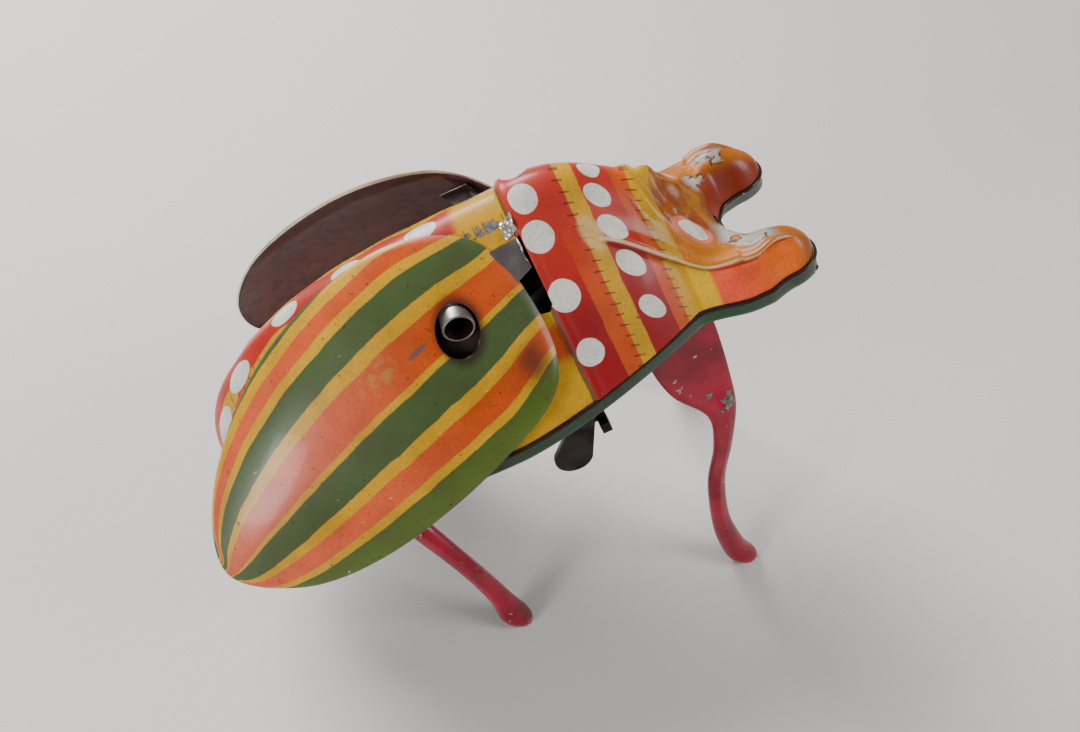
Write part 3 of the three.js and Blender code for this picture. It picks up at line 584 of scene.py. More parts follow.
def litho_shell(colours):
    """The printed shell: yellow, red and orange bands with hatching and white spots."""
    material, g, shader = start_material("litho_shell_print")
    x, s = printed_place(g, PRINT_SPAN)
    lip = g.node("ShaderNodeSeparateXYZ")
    g.feed(lip.inputs[0], g.node("ShaderNodeUVMap", uv_map="fold").outputs[0])
    below = g.ramp(lip.outputs[1], 0.5, 0.515)
    x = wavy(g, g.plus(x, -PRINT_SPAN[0] / 2), 0.5, 260)
    s = wavy(g, s, 0.5, 260)
    yellow, red = (*colours.yellow, 1), (*colours.red, 1)
    orange, deep_red = (*colours.orange, 1), linear(150, 2, 16)
    ochre, white, ink = linear(178, 112, 2), linear(222, 218, 208), linear(46, 24, 8)

    def hatch(colour, low, high, pitch, width):
        stroke = g.math("LESS_THAN", g.math("FRACT", g.math("DIVIDE", s, pitch)), width)
        mask = g.times(stroke, g.band(wavy(g, x, 1.6, 420), low, high))
        return g.mix(g.times(mask, 0.7), colour, ink)

    # abdomen
    wave = g.times(g.math("SINE", g.times(x, 0.44)), 0.7)
    middle = g.band(g.minus(s, wave), -3, 2.9, 0.15)
    middle = g.times(middle, g.minus(1, g.ramp(x, 1.5, 3.5)))
    back = g.mix(middle, yellow, red)
    flank = g.band(g.plus(s, g.times(wave, 1.5)), 10, 17, 0.2)
    back = g.mix(flank, back, red)
    back = g.mix(g.band(s, 17, 19.5), back, orange)
    back = g.mix(g.band(s, 24, 30, 1), back, orange)
    rear = g.minus(1, g.ramp(wavy(g, x, 5, 120), -42, -38))
    scallop = g.band(g.plus(s, g.times(wave, 3)), 3.4, 10, 0.2)
    back = g.mix(g.times(rear, scallop), back, orange)
    back = g.mix(g.times(rear, g.band(s, 10, 40)), back, deep_red)
    strokes = g.math("LESS_THAN", g.math("FRACT", g.math("DIVIDE", x, 1.7)), 0.17)
    strokes = g.times(strokes, g.band(wavy(g, s, 1.5, 420), 3.5, 5.4))
    back = g.mix(g.times(strokes, 0.5), back, ink)
    for centre in ((-3, 0), (-17, 0), (-30, 0), (-42.5, 2.6), (-50, 4.5)):
        back = g.mix(g.oval(x, s, centre, (2.9, 1.9)), back, white)
    for k in range(4):
        back = g.mix(g.oval(x, s, (-38 + 12 * k, 13.5), (2.7, 1.9)), back, white)

    # thorax
    chest = g.mix(g.ramp(s, 12, 27), red, deep_red)
    # painted shade: the thorax's flank below the face's lip is darkened to deep red, in the recess under the lip
    chest = g.mix(g.times(below, g.ramp(x, 23, 25)), chest, deep_red)
    chest = g.mix(g.band(x, 17.6, 20.7), chest, g.mix(g.ramp(s, 5, 25), red, orange))
    chest = g.mix(g.band(x, 20.7, 23.4), chest, yellow)
    chest = g.mix(g.band(x, 28.8, 31), chest, orange)
    chest = g.mix(g.band(x, 31, 34.2), chest, yellow)
    chest = hatch(chest, 19.9, 21.5, 2, 0.16)
    chest = hatch(chest, 30.3, 31.8, 1.8, 0.16)
    worn = g.times(g.oval(x, s, (22, 11.5), (1.7, 3), 0.6), 0.5)
    chest = g.mix(worn, chest, linear(226, 196, 140))
    spots = [((13.7, 30.6), (2.3, 2.5)), ((13.9, 20.1), (2.6, 2.8)), ((14.2, 9.8), (2.5, 2.7)),
             ((14.6, 3.3), (2.3, 2.5)), ((26.1, 25.2), (2, 2.3)), ((25.8, 17), (2.1, 2.4)),
             ((25.4, 10.6), (2, 2.2)), ((25.5, 5), (1.9, 2.1)), ((26, 0), (1.7, 1.8))]
    for centre, radii in spots:
        chest = g.mix(g.oval(x, s, centre, radii), chest, white)

    # head: ochre above the lip, orange and pink below it
    head = g.mix(g.ramp(g.noise(170, 3), 0.36, 0.56), ochre, linear(150, 70, 4))
    head = g.mix(g.times(g.ramp(s, 7, 12), 0.7), head, linear(206, 120, 6))
    jaw_side = g.mix(g.ramp(x, 40, 49), linear(244, 84, 52), linear(240, 104, 0))
    jaw_side = g.mix(g.ramp(x, 51, 54.5), jaw_side, linear(170, 92, 6))
    head = g.mix(below, head, jaw_side)
    head = g.mix(g.times(below, g.band(x, 33, 37.5, 0.4)), head, linear(226, 176, 10))
    head = g.mix(g.times(g.ramp(x, 45, 47), g.minus(1, below)), head, linear(178, 96, 6))
    # painted shade: the jaws' inner sides are darkened to deep orange-red
    inner_side_shade = g.times(g.minus(1, g.ramp(lip.outputs[0], 0.16, 0.34)), g.ramp(x, 42, 44))
    head = g.mix(inner_side_shade, head, linear(150, 44, 4))
    worn_field = g.noise(230, 5)
    on_jaw = g.times(g.band(lip.outputs[0], 0.3, 0.62, 0.06), g.band(x, 41.5, 50, 1.5))
    outline = g.times(g.ramp(worn_field, 0.45, 0.46), on_jaw)
    head = g.mix(outline, head, linear(58, 40, 28))
    head = g.mix(g.times(g.ramp(worn_field, 0.475, 0.49), on_jaw), head, linear(178, 168, 158))
    head = g.mix(g.oval(x, s, PRINTED_EYE, (2.7, 2.1), 0.2), head, linear(224, 112, 92))
    head = g.mix(g.oval(x, s, PRINTED_EYE, (1.9, 1.45)), head, white)

    colour = g.mix(g.ramp(x, SEAM_X - 0.8, SEAM_X - 0.6), back, chest)
    colour = g.mix(g.ramp(x, 34, 34.3), colour, head)
    # painted shadow: a dark band at the foot of the thorax's rear step, where its edge stands over the abdomen
    step_shadow = g.band(x, SEAM_X - 1.2, SEAM_X - 0.65, 0.1)
    colour = g.mix(g.times(step_shadow, 0.8), colour, linear(20, 14, 12))
    bare = g.oval(x, s, (6.5, 5), (3.4, 1.3), 0.5)
    chips = g.math("MAXIMUM", g.times(bare, 1.3), 0.36)
    # painted highlight: a pale line along the folded lip of the face; painted shadow: a dark red line just below
    # it
    edge = g.times(g.band(lip.outputs[1], 0.485, 0.505, 0.006), g.band(x, 23, 52, 1))
    colour = g.mix(g.times(edge, 0.75), colour, linear(232, 206, 170))
    shade = g.times(g.band(lip.outputs[1], 0.507, 0.53, 0.01), g.band(x, 23, 52, 1))
    colour = g.mix(g.times(shade, 0.6), colour, linear(70, 12, 8))
    # painted shade: the shell is darkened round the winding tube, where it shows through the gap under the wing
    colour = g.mix(g.oval(x, s, (WINDING[0], 16.5), (7, 8), 0.3), colour, linear(30, 18, 12))
    rubbed = g.math("MAXIMUM", g.ramp(lip.outputs[0], 0.93, 1), g.band(x, 11.6, 12.5, 0.2))
    chips = g.plus(chips, g.times(rubbed, 0.12))
    aged(g, shader, colour, chips, 0.6, 0.4, 0.34)
    return material


def wing_stripes(colours):
    """Green, yellow and orange stripes that meet at the wing's rear tip."""
    material, g, shader = start_material("wing_stripe_print")
    across, along = printed_place(g, (WING_SPAN, 1))
    across = wavy(g, g.plus(across, -WING_SPAN / 2), 0.7, 200)
    yellow, orange, green = (*colours.yellow, 1), (*colours.orange, 1), (*colours.green, 1)
    salmon = linear(214, 88, 46)
    warm = g.mix(g.ramp(along, 0.35, 0.75), salmon, orange)
    leaf = g.mix(g.ramp(across, 16, 22), green, linear(74, 96, 18))
    colour = leaf
    for low, high, paint in ((-17.4, -10.8, yellow), (-15.4, -12.6, warm), (-5.9, 4.9, yellow),
                             (-3.3, 3.7, warm), (10.8, 18.7, yellow), (13, 17.1, warm)):
        colour = g.mix(g.band(across, low, high), colour, paint)
    stain = g.times(g.band(across, 13, 19, 1.5), g.band(along, 0.88, 0.95, 0.03))
    colour = g.mix(g.times(stain, 0.75), colour, linear(70, 30, 18))
    scuff = g.times(g.oval(across, along, (-1, 0.61), (2.4, 0.05), 0.8), g.ramp(g.noise(500, 4), 0.4, 0.6))
    colour = g.mix(g.times(scuff, 0.6), colour, linear(176, 140, 62))
    scratch = g.oval(across, along, (0.6, 0.72), (0.5, 0.028), 0.3)
    colour = g.mix(g.times(scratch, 0.85), colour, linear(92, 82, 78))
    # the wing is darker round the winding hole
    darkening = g.node("ShaderNodeAttribute", attribute_name="hole_darkening").outputs["Fac"]
    colour = g.mix(g.times(darkening, 0.9), colour, linear(40, 24, 16))
    aged(g, shader, colour, 0.3, 0.75, 0.45, 0.33, 0.12)
    return material


def painted(name, main, second, chips, specks, scratches, gloss, grain=110):
    material, g, shader = start_material(name)
    colour = g.mix(g.ramp(g.noise(grain, 4), 0.35, 0.7), main, second)
    aged(g, shader, colour, chips, specks, scratches, gloss)
    return material


def leg_enamel(colours):
    """Crimson enamel rubbed to the tin at the toes and the front knees."""
    material, g, shader = start_material("crimson_enamel")
    colour = g.mix(g.ramp(g.noise(110, 4), 0.35, 0.7), (*colours.crimson, 1), linear(104, 0, 24))
    place = g.node("ShaderNodeSeparateXYZ")
    g.feed(place.inputs[0], g.node("ShaderNodeTexCoord").outputs["Object"])
    x, z = place.outputs[0], place.outputs[2]
    toes = g.times(g.minus(1, g.ramp(z, 0.001, 0.0045)), 0.4)
    knees = g.times(g.oval(x, z, (0.0375, 0.0405), (0.0042, 0.0032), 0.6), 0.65)
    chips = g.plus(0.46, g.math("MAXIMUM", toes, knees))
    aged(g, shader, colour, chips, 0.5, 0.75, 0.22, 0.3)
    return material


def bare_metal(name, bright, tarnish, amount):
    material, g, shader = start_material(name)
    group = g.node("ShaderNodeGroup", node_tree=bpy.data.node_groups["tarnished_metal"])
    for socket, value in (("Bright", bright), ("Tarnish", tarnish), ("Amount", amount)):
        group.inputs[socket].default_value = value
    shader.inputs["Metallic"].default_value = 1
    out = group.outputs
    finish_surface(g, shader, out["Colour"], out["Roughness"], out["Height"], 0.03)
    return material


# The main and second colour, then chips, specks, scratches, gloss and, if given, the grain's scale.
PAINTS = {
    "green_enamel": ((22, 66, 40), (14, 42, 28), 0.34, 0.5, 0.3, 0.3),
    "black_rim": ((24, 16, 13), (46, 32, 26), 0.5, 0.3, 0.6, 0.24),
    "maroon_lacquer": ((98, 34, 26), (62, 20, 16), 0.3, 0.7, 0.2, 0.6, 420),
}
# The bright and the tarnished colour, then the amount of tarnish.
METALS = {
    "bright_edge": ((222, 218, 212), (150, 132, 112), 0.5),
    "lever_steel": ((142, 134, 130), (74, 62, 56), 0.7),
    "dull_tin": ((84, 76, 68), (42, 34, 28), 0.9),
    "rusty_bore": ((132, 98, 80), (66, 36, 24), 0.9),
    "tinned_steel": ((176, 172, 168), (88, 76, 66), 0.7),
    "oxidised_steel": ((66, 60, 56), (34, 28, 24), 0.8),
    "aged_brass": ((190, 158, 88), (104, 78, 36), 0.6),
}
PRINTS = {"litho_shell_print": litho_shell, "wing_stripe_print": wing_stripes, "crimson_enamel": leg_enamel}


def finish(name):
    """The named finish, made the first time it is asked for."""
    if name in bpy.data.materials:
        return bpy.data.materials[name]
    if name in PRINTS:
        return PRINTS[name](bpy.context.scene.beetle_colours)
    make, (first, second, *rest) = (painted, PAINTS[name]) if name in PAINTS else (bare_metal, METALS[name])
    return make(name, linear(*first), linear(*second), *rest)


# ---- what a user would change ----
def colour_choice(name, description, *card):
    return FloatVectorProperty(name=name, description=description, subtype="COLOR", size=3,
                               min=0, max=1, default=linear(*card)[:3])


class BeetleColours(bpy.types.PropertyGroup):
    """Colours of the printed and enamelled tin"""
    yellow: colour_choice("Yellow", "Print yellow", 206, 152, 0)
    orange: colour_choice("Orange", "Print orange", 198, 74, 4)
    red: colour_choice("Red", "Print red of the shell", 186, 40, 26)
    green: colour_choice("Green", "Wing green", 62, 84, 40)
    crimson: colour_choice("Crimson", "Enamel of the legs", 160, 0, 44)


class BeetleSizes(bpy.types.PropertyGroup):
    """Sizes of the sheet metal"""
    sheet: FloatProperty(name="Sheet", description="Thickness of the tinplate, in millimetres",
                         default=0.35, min=0.2, max=0.6)
    rim: FloatProperty(name="Rim", description="Radius of the rolled rim, in millimetres",
                       default=0.5, min=0.4, max=1)
    fineness: IntProperty(name="Fineness", description="Places along the shell where it is drawn",
                          default=240, min=60, max=300)


# ---- one operator for each piece or group of like pieces ----
class BEETLE_OT_shell(bpy.types.Operator):
    """Presses the printed upper shell with its face, eyes, thorax step and openings"""
    bl_idname = "beetle.shell"
    bl_label = "Upper shell"

    def execute(self, context):
        sizes = context.scene.beetle_sizes
        arcs = {}

        def place_on_print(a, b):
            x = station(a)
            if x not in arcs:
                arcs[x] = arc_lengths(x)
            k = b * (len(arcs[x]) - 1)
            low = min(int(k), len(arcs[x]) - 2)
            reach = mix(arcs[x][low], arcs[x][low + 1], k - low)
            return (x + PRINT_SPAN[0] / 2) / PRINT_SPAN[0], reach / PRINT_SPAN[1]

        shell = mirrored_sheet("upper_shell", sizes.fineness, 80,
                               lambda a, b, side: shell_point(station(a), b, side), place_on_print,
                               fold=lambda a, b: (b, b - crease_at(station(a)) + 0.5))
        weld(shell, Vector((0, 0, 1)))
        thicken(shell, sizes.sheet, inside=1, edge=2)
        slots = [box_cutter(*LEVER_SLOT, side * LEVER_Y - 4, side * LEVER_Y + 4, 13, 30) for side in (-1, 1)]
        tube = round_cutter((WINDING[0], -12, WINDING[1]), TUBE_RADIUS + 0.6, 16, along_y=True)
        cut_out(shell, [*slots, tube])
        smooth_by_angle(shell, 50)
        named(shell, "upper_shell")
        finish_piece(shell, "frame", finish("litho_shell_print"), "litho_shell", "body_top",
                     also=(finish("dull_tin"), finish("tinned_steel")))
        return {"FINISHED"}


class BEETLE_OT_belly(bpy.types.Operator):
    """Presses the belly pan with its leg slots and round hole"""
    bl_idname = "beetle.belly"
    bl_label = "Belly pan"

    def execute(self, context):
        def pan_point(a, b, side):
            x = station(a)
            wall = max(0, b - WALL_FROM) / (1 - WALL_FROM)
            y = mix(inner_edge(x), outer_edge(x) + SEAM_FLANGE, min(1, b / WALL_FROM))
            y -= 0.4 * hump(b, WALL_FROM, 0.02)
            inner_wall = 1 - smooth(0, 0.1, b) if inner_edge(x) > 0 else 0
            rib = 0.5 * hump(b, 0.66, 0.03) * smooth(-50, -44, x) * (1 - smooth(20, 28, x))
            return Vector((x, side * y, -BELLY_DEPTH * (1 - max(wall, inner_wall)) + rib))

        pan = mirrored_sheet("belly_pan", 150, 30, pan_point, lambda a, b: (a, b))
        weld(pan, Vector((0, 0, -1)))
        thicken(pan, context.scene.beetle_sizes.sheet)
        slots = [box_cutter(*LEG_SLOT, y - LEG_SLOT_HALF, y + LEG_SLOT_HALF, -5, 2)
                 for y in (-LEG_PLATE_Y, LEG_PLATE_Y)]
        cut_out(pan, [*slots, round_cutter(BELLY_HOLE, BELLY_HOLE_RADIUS, 12)])
        smooth_by_angle(pan, 40)
        named(pan, "belly_pan")
        finish_piece(pan, "frame", finish("green_enamel"), "green_belly", "belly_plate")
        return {"FINISHED"}


class BEETLE_OT_rim(bpy.types.Operator):
    """Rolls the black rim round the whole outline, jaws included"""
    bl_idname = "beetle.rim"
    bl_label = "Rolled rim"

    def execute(self, context):
        stations = [station(k / 120) for k in range(121)]
        outer = [Vector((x, -outer_edge(x) - SEAM_FLANGE, RIM_Z)) for x in stations]
        inner = [Vector((x, -inner_edge(x), RIM_Z)) for x in reversed(stations) if x > NOTCH_X + 0.2]
        right = [*outer, *inner]
        left = [Vector((p.x, -p.y, p.z)) for p in reversed(right)]
        curve = bpy.data.curves.new("rolled_rim", "CURVE")
        curve.dimensions = "3D"
        curve.bevel_depth = context.scene.beetle_sizes.rim * MM
        curve.bevel_resolution = 3
        spline = curve.splines.new("POLY")
        points = [BODY_TO_ROW @ p for p in [*right, *left]]
        spline.points.add(len(points) - 1)
        for knot, point in zip(spline.points, points):
            knot.co = (*point, 1)
        spline.use_cyclic_u = True
        rim = bpy.data.objects.new("rolled_rim", curve)
        context.scene.collection.objects.link(rim)
        select_only(rim)
        bpy.ops.object.convert(target="MESH")
        rim = context.object
        weld(rim, None)
        smooth_by_angle(rim, 60)
        named(rim, "rolled_rim")
        finish_piece(rim, "frame", finish("black_rim"), "green_belly")
        return {"FINISHED"}


class BEETLE_OT_wings(bpy.types.Operator):
    """Presses both wings, the right one lying on the flank and the left one standing open"""
    bl_idname = "beetle.wings"
    bl_label = "Wings"

    def execute(self, context):
        self.wing(context, "right", Matrix(), -1)
        self.wing(context, "left", left_wing_stands_open() @ Matrix.Diagonal((1, -1, 1, 1)), 1)
        return {"FINISHED"}

    def wing(self, context, name, stance, side):
        def place_on_print(a, b):
            across, along = wing_print(max(a, 0.001), b)
            return (across + WING_SPAN / 2) / WING_SPAN, along

        piece = grid_sheet(f"{name}_wing_sheet", 44, 200, lambda a, b: stance @ wing_point(a, b),
                           place_on_print)
        out = stance.to_3x3() @ FLANK_OUT
        weld(piece, out)
        thicken(piece, context.scene.beetle_sizes.sheet, inside=1, edge=2)
        if side < 0:
            middle = (WINDING[0] - 0.35, -14, WINDING[1])
            cut_out(piece, [round_cutter(middle, TUBE_RADIUS + 0.5, 20, along_y=True, stretch_x=1.1)])
        # how much darker the wing is round the winding hole, falling off outwards
        hole_darkening = piece.data.attributes.new("hole_darkening", "FLOAT", "POINT")
        axis = BODY_TO_ROW @ Vector((WINDING[0], 0, WINDING[1]))
        for vertex in piece.data.vertices:
            off = math.hypot(vertex.co.x - axis.x, vertex.co.z - axis.z) / MM
            darkening = 1 - smooth(TUBE_RADIUS + 0.4, TUBE_RADIUS + 2.2, off)
            hole_darkening.data[vertex.index].value = darkening if side < 0 else 0
        smooth_by_angle(piece, 50)
        named(piece, f"{name}_wing_sheet")
        finish_piece(piece, f"{name}_wing_set", finish("wing_stripe_print"), "striped_wing", f"{name}_wing",
                     also=(finish("maroon_lacquer"), finish("bright_edge")))


def ground_under(x):
    return -(STANCE + x * math.sin(NOSE_UP)) / math.cos(NOSE_UP)


# Rings down a leg: x, y, z, half size along X, half size along Y, tilt. The last rests on the ground.
FRONT_LEG = [
    (31, -12.6, 3.9, 0.9, 0.35, 0), (31, -12.6, 3.2, 2.2, 0.4, 0), (31, -12.6, 0, 3.2, 0.4, 0),
    (29, -12.6, -4, 6.2, 0.4, 0), (28.4, -13.6, -9, 6.8, 0.5, 0), (28.8, -15.6, -17, 5.7, 0.8, 0),
    (30.4, -17.6, -24, 2.9, 1.3, 0), (28, -19.6, -31, 1.9, 1.5, 0), (24.2, -21.4, -38, 1.8, 1.5, 0),
    (21.9, -23, -48, 1.9, 1.6, 0), (21.9, -23.9, -56, 2.6, 2.1, -1), (22.8, -24.5, -60.3, 3.1, 2.6, -1),
    (23.4, -24.6, ground_under(23.4), 2, 1.8, -1),
]
REAR_LEG = [
    (-34, -16.4, -3.6, 4.2, 2.4, 0), (-33.6, -16.8, -4.6, 3.8, 1.9, 0), (-30.2, -19.2, -10, 2.5, 1.6, 0),
    (-27.3, -22, -17, 2.1, 1.6, 0), (-24.1, -25, -28, 1.9, 1.6, 0), (-22.6, -26.4, -37, 2.3, 1.9, -1),
    (-22.1, -27.3, -42.6, 3, 2.6, -1), (-21.5, -27.5, ground_under(-21.5), 2, 1.9, -1),
]
STEP_AHEAD = 4.6
RING_SIDES = 28
RINGS_BETWEEN = 7


class BEETLE_OT_legs(bpy.types.Operator):
    """Draws the four crimson legs, with flat thighs, folded shanks and spoon feet"""
    bl_idname = "beetle.legs"
    bl_label = "Legs"

    def execute(self, context):
        for side, name in ((-1, "right"), (1, "left")):
            rings = FRONT_LEG if side < 0 else self.a_step_ahead(FRONT_LEG)
            self.leg(f"front_leg_{name}_pressing", rings, side, f"{name}_front_leg", f"front_leg_{name}")
            self.leg(f"rear_leg_{name}_pressing", REAR_LEG, side, "frame", f"rear_leg_{name}")
        return {"FINISHED"}

    def a_step_ahead(self, rings):
        """The same rings with the foot further forward."""
        moved = []
        for x, y, z, *sizes in rings:
            ahead = x + STEP_AHEAD * min(1, max(0, (-9 - z) / 45))
            foot = z == rings[-1][2]
            moved.append((ahead, y, ground_under(ahead) if foot else z, *sizes))
        return moved

    def between(self, rings, place):
        """A ring at any place down the leg, on a smooth curve through the given ones."""
        index = min(int(place), len(rings) - 2)
        t = place - index
        p = [rings[min(max(index + k - 1, 0), len(rings) - 1)] for k in range(4)]
        ring = []
        for a, b, c, d in zip(*p):
            value = b + 0.5 * t * (c - a + t * (2 * a - 5 * b + 4 * c - d + t * (3 * (b - c) + d - a)))
            ring.append(value)
        return ring

    def leg(self, name, rings, side, body, node):
        count = (len(rings) - 1) * RINGS_BETWEEN
        bpy.ops.object.select_all(action="DESELECT")
        bpy.ops.mesh.primitive_cylinder_add(vertices=RING_SIDES, end_fill_type="NGON", location=(0, 0, 0))
        piece = named(bpy.context.object, name)
        bpy.ops.object.mode_set(mode="EDIT")
        for k in range(1, count):
            bpy.ops.mesh.select_all(action="SELECT")
            bpy.ops.mesh.bisect(plane_co=(0, 0, 1 - 2 * k / count), plane_no=(0, 0, 1))
        bpy.ops.object.mode_set(mode="OBJECT")
        for vertex in piece.data.vertices:
            place = (1 - vertex.co.z) / 2 * (len(rings) - 1)
            x, y, z, half_x, half_y, tilt = self.between(rings, place)
            if place > len(rings) - 1.001:
                x, y, z, half_x, half_y, tilt = rings[-1]
            angle = math.atan2(vertex.co.y, vertex.co.x)
            folded = smooth(0.8, 1.4, half_y) * (1 - smooth(1.5, 2, half_y))
            groove = 1 - 0.45 * folded * hump(angle, math.pi / 2, 0.55)
            ridge = 1 + 0.22 * folded * hump(angle, -math.pi / 2, 0.3)
            lie = half_x * math.cos(angle) * groove * ridge
            stand = half_y * math.sin(angle) * groove * ridge
            lean = tilt * NOSE_UP
            across = (y + stand) * (1 if side < 0 else -1)
            vertex.co = BODY_TO_ROW @ Vector((x + lie * math.cos(lean), across, z + lie * math.sin(lean)))
        weld(piece, None)
        smooth_by_angle(piece, 42)
        named(piece, name)
        finish_piece(piece, body, finish("crimson_enamel"), "crimson_leg", node)


class BEETLE_OT_winding_tube(bpy.types.Operator):
    """Turns the winding tube with its rounded mouth and the shaft behind it"""
    bl_idname = "beetle.winding_tube"
    bl_label = "Winding tube"

    def execute(self, context):
        bore = TUBE_RADIUS - TUBE_WALL
        profile = [
            (0, SHAFT_END), (SHAFT_RADIUS, SHAFT_END), (SHAFT_RADIUS, TUBE_ROOT), (TUBE_RADIUS, TUBE_ROOT),
            (TUBE_RADIUS, TUBE_END + 0.25), (TUBE_RADIUS - 0.08, TUBE_END + 0.07),
            (TUBE_RADIUS - 0.25, TUBE_END), (bore + 0.08, TUBE_END + 0.07), (bore, TUBE_END + 0.25),
            (bore, BORE_FLOOR), (0, BORE_FLOOR),
        ]
        edges = [(k, k + 1) for k in range(len(profile) - 1)]
        mesh = bpy.data.meshes.new("winding_tube")
        mesh.from_pydata([(radius, 0, y) for radius, y in profile], edges, [])
        tube = bpy.data.objects.new("winding_tube", mesh)
        context.scene.collection.objects.link(tube)
        edit_whole(tube, lambda: bpy.ops.mesh.spin(steps=64, angle=2 * math.pi, center=(0, 0, 0),
                                                   axis=(0, 0, 1)))
        turn = Matrix.Rotation(math.radians(-90), 4, "X")
        tube.data.transform(BODY_TO_ROW @ Matrix.Translation((WINDING[0], 0, WINDING[1])) @ turn)
        weld(tube, None)
        smooth_by_angle(tube, 40)
        axis = BODY_TO_ROW @ Vector((WINDING[0], 0, WINDING[1]))
        for face in tube.data.polygons:
            off = math.hypot(face.center.x - axis.x, face.center.z - axis.z) / MM
            face.material_index = 1 if off < bore + 0.05 and face.center.y < axis.y - 9 * MM else 0
        finish_piece(tube, "winding_body", finish("tinned_steel"), "bright_steel", "winding_arbor",
                     also=(finish("rusty_bore"),))
        return {"FINISHED"}


class BEETLE_OT_fittings(bpy.types.Operator):
    """Breaks the edges of the levers, pins and stop lever that show"""
    bl_idname = "beetle.fittings"
    bl_label = "Levers and pins"

    def execute(self, context):
        bright, dark = finish("tinned_steel"), finish("oxidised_steel")
        for side in ("right", "left"):
            lever, pin = f"{side}_wing_lever", f"{side}_wing_pin"
            refined(lever, f"{lever}_plate", 0.08, f"{side}_wing_set", bright, "bright_steel")
            refined(pin, f"{pin}_turned", 0.08, "frame", bright, "bright_steel")
        refined("stop_lever", "stop_lever_tongue", 0.15, "stop_lever_body", dark, "blued_steel")
        refined("stop_lever_bracket", "stop_lever_bracket_folded", 0.1, "frame", dark, "blued_steel")
        refined("stop_lever_rivet", "stop_lever_rivet_headed", 0.12, "frame", dark, "bright_steel")
        self.laid_plate("right_lever_cover", (5.2, 11.3), (0.3, 0.5), (0.3, 0.45), 0.45, 0.12,
                        "right_wing_set", "lever_steel")
        self.laid_plate("bent_tab", (9.3, 11.8), (0.2, 0.29), (0.18, 0.27), 0.5, 0.4, "frame", "bright_edge")
        return {"FINISHED"}

    def laid_plate(self, name, span, v_from, v_to, lift, crumple, body, metal):
        """A small plate lying over the shell's right flank, narrowing from v_from to v_to."""
        def place(a, b):
            x = mix(*span, a)
            v = mix(mix(v_from[0], v_to[0], a), mix(v_from[1], v_to[1], a), b)
            ahead, over = shell_point(x + 0.1, v, -1), shell_point(x, v + 0.01, -1)
            here = shell_point(x, v, -1)
            normal = (over - here).cross(ahead - here).normalized()
            bend = crumple * (math.sin(7 * a + 3 * b) + math.sin(9 * b - 4 * a)) / 2
            return here + normal * (lift + bend)

        plate = grid_sheet(name, 24, 16, place, lambda a, b: (a, b))
        weld(plate, Vector((0, -0.4, 1)))
        thicken(plate, PLATE_THICKNESS)
        smooth_by_angle(plate, 40)
        named(plate, name)
        finish_piece(plate, body, finish(metal), "bright_steel")


class BEETLE_OT_clockwork(bpy.types.Operator):
    """Gives the clockwork behind the shell its steel and brass finishes"""
    bl_idname = "beetle.clockwork"
    bl_label = "Clockwork finishes"

    def execute(self, context):
        slots = {"bright_steel": "tinned_steel", "blued_steel": "oxidised_steel", "brass_wheel": "aged_brass",
                 "litho_shell": "litho_shell_print", "green_belly": "green_enamel",
                 "striped_wing": "wing_stripe_print", "crimson_leg": "crimson_enamel"}
        for entry in frame["record"]["subparts"]:
            node = frame["nodes"][entry["node"]]
            node.data.materials.clear()
            node.data.materials.append(finish(slots[entry["material_slot"]]))
        return {"FINISHED"}


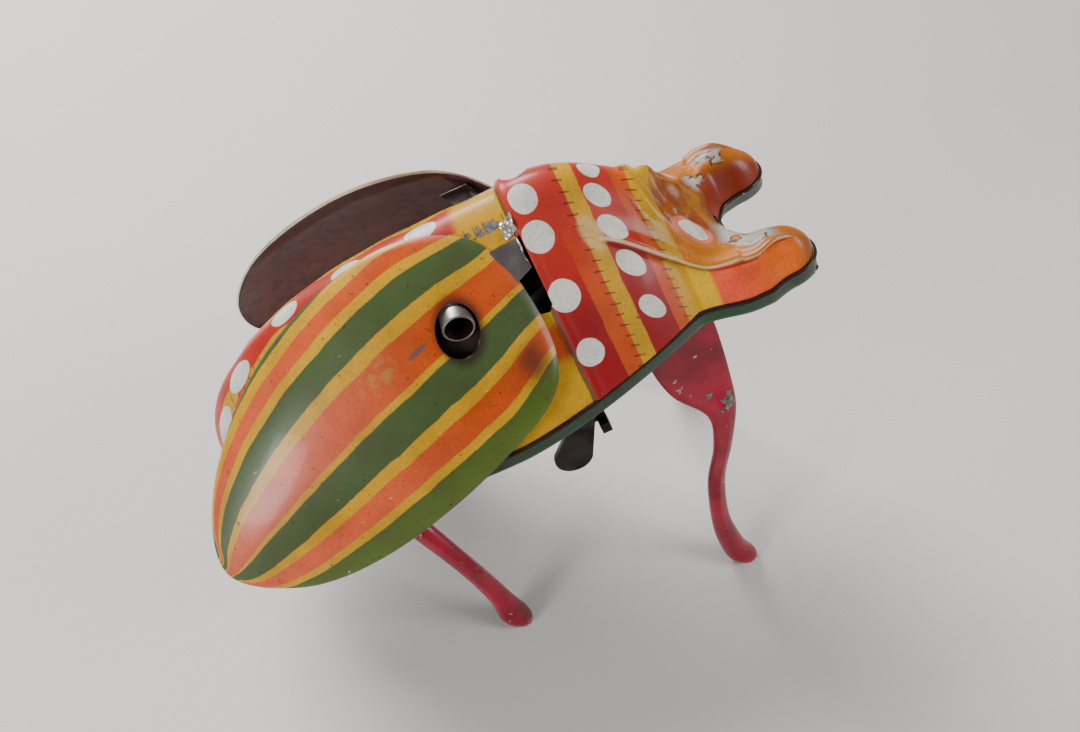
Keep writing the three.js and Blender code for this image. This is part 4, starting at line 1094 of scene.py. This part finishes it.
class BEETLE_OT_stage(bpy.types.Operator):
    """Lays the pale floor, hangs the soft lights and sets the camera"""
    bl_idname = "beetle.stage"
    bl_label = "Stage"

    def execute(self, context):
        bpy.ops.object.select_all(action="DESELECT")
        bpy.ops.mesh.primitive_plane_add(size=4, location=(0, 0, 0))
        floor = named(context.object, "floor")
        material, g, shader = start_material("pale_floor")
        shader.inputs["Roughness"].default_value = 0.7
        pale = g.mix(g.noise(8, 3), linear(202, 199, 193), linear(210, 207, 202))
        g.feed(shader.inputs["Base Color"], pale)
        floor.data.materials.append(material)
        world = bpy.data.worlds.new("studio")
        world.use_nodes = True
        for socket, value in zip(world.node_tree.nodes["Background"].inputs, ((0.92, 0.95, 1, 1), 0.3)):
            socket.default_value = value
        context.scene.world = world
        self.lamp("window", (-0.2, 0.42, 0.5), 0.35, 7.4)
        self.lamp("front_fill", (-0.5, -0.35, 0.22), 0.2, 2.6)
        self.lamp("side_fill", (0.5, -0.3, 0.4), 0.3, 2.4)
        self.camera(context)
        return {"FINISHED"}

    def lamp(self, name, place, size, power):
        lamp = bpy.data.objects.new(name, bpy.data.lights.new(name, "AREA"))
        lamp.data.size = size
        lamp.data.energy = power
        lamp.location = place
        lamp.rotation_euler = (Vector((0, 0, 0.04)) - Vector(place)).to_track_quat("-Z", "Y").to_euler()
        bpy.context.scene.collection.objects.link(lamp)

    def camera(self, context):
        camera = bpy.data.objects.new("camera", bpy.data.cameras.new("camera"))
        context.scene.collection.objects.link(camera)
        camera.data.lens = CAMERA_LENS
        camera.data.sensor_width = SENSOR_WIDTH
        ahead, level = Vector((math.sin(CAMERA_SWING), math.cos(CAMERA_SWING), 0)), math.cos(CAMERA_TIP)
        into = Vector((ahead.x * level, ahead.y * level, -math.sin(CAMERA_TIP)))
        right = Vector((ahead.y, -ahead.x, 0))
        up = right.cross(into)
        place = BODY_TO_ROW @ Vector((0, 0, 0)) + CAMERA_FROM_SEAM * MM
        turn = Matrix((right, up, -into)).transposed()
        camera.matrix_world = Matrix.Translation(place) @ turn.to_4x4()
        context.scene.camera = camera


class BEETLE_PT_panel(bpy.types.Panel):
    """Lists the beetle's operators and settings"""
    bl_idname = "BEETLE_PT_panel"
    bl_label = "Tin beetle"
    bl_space_type = "VIEW_3D"
    bl_region_type = "UI"
    bl_category = "Beetle"

    def draw(self, context):
        for settings in (context.scene.beetle_colours, context.scene.beetle_sizes):
            for key in settings.__annotations__:
                self.layout.prop(settings, key)
        for operator in OPERATORS:
            self.layout.operator(operator.bl_idname)


OPERATORS = (BEETLE_OT_shell, BEETLE_OT_belly, BEETLE_OT_rim, BEETLE_OT_wings, BEETLE_OT_legs,
             BEETLE_OT_winding_tube, BEETLE_OT_fittings, BEETLE_OT_clockwork, BEETLE_OT_stage)
CLASSES = (BeetleColours, BeetleSizes, *OPERATORS, BEETLE_PT_panel)


def register():
    for made in CLASSES:
        bpy.utils.register_class(made)
    bpy.types.Scene.beetle_colours = PointerProperty(type=BeetleColours)
    bpy.types.Scene.beetle_sizes = PointerProperty(type=BeetleSizes)


def unregister():
    del bpy.types.Scene.beetle_sizes
    del bpy.types.Scene.beetle_colours
    for made in reversed(CLASSES):
        bpy.utils.unregister_class(made)


def main():
    register()
    wear_group()
    metal_group()
    for operator in OPERATORS:
        family, name = operator.bl_idname.split(".")
        getattr(getattr(bpy.ops, family), name)()
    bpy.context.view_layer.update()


if __name__ == "__main__":
    main()
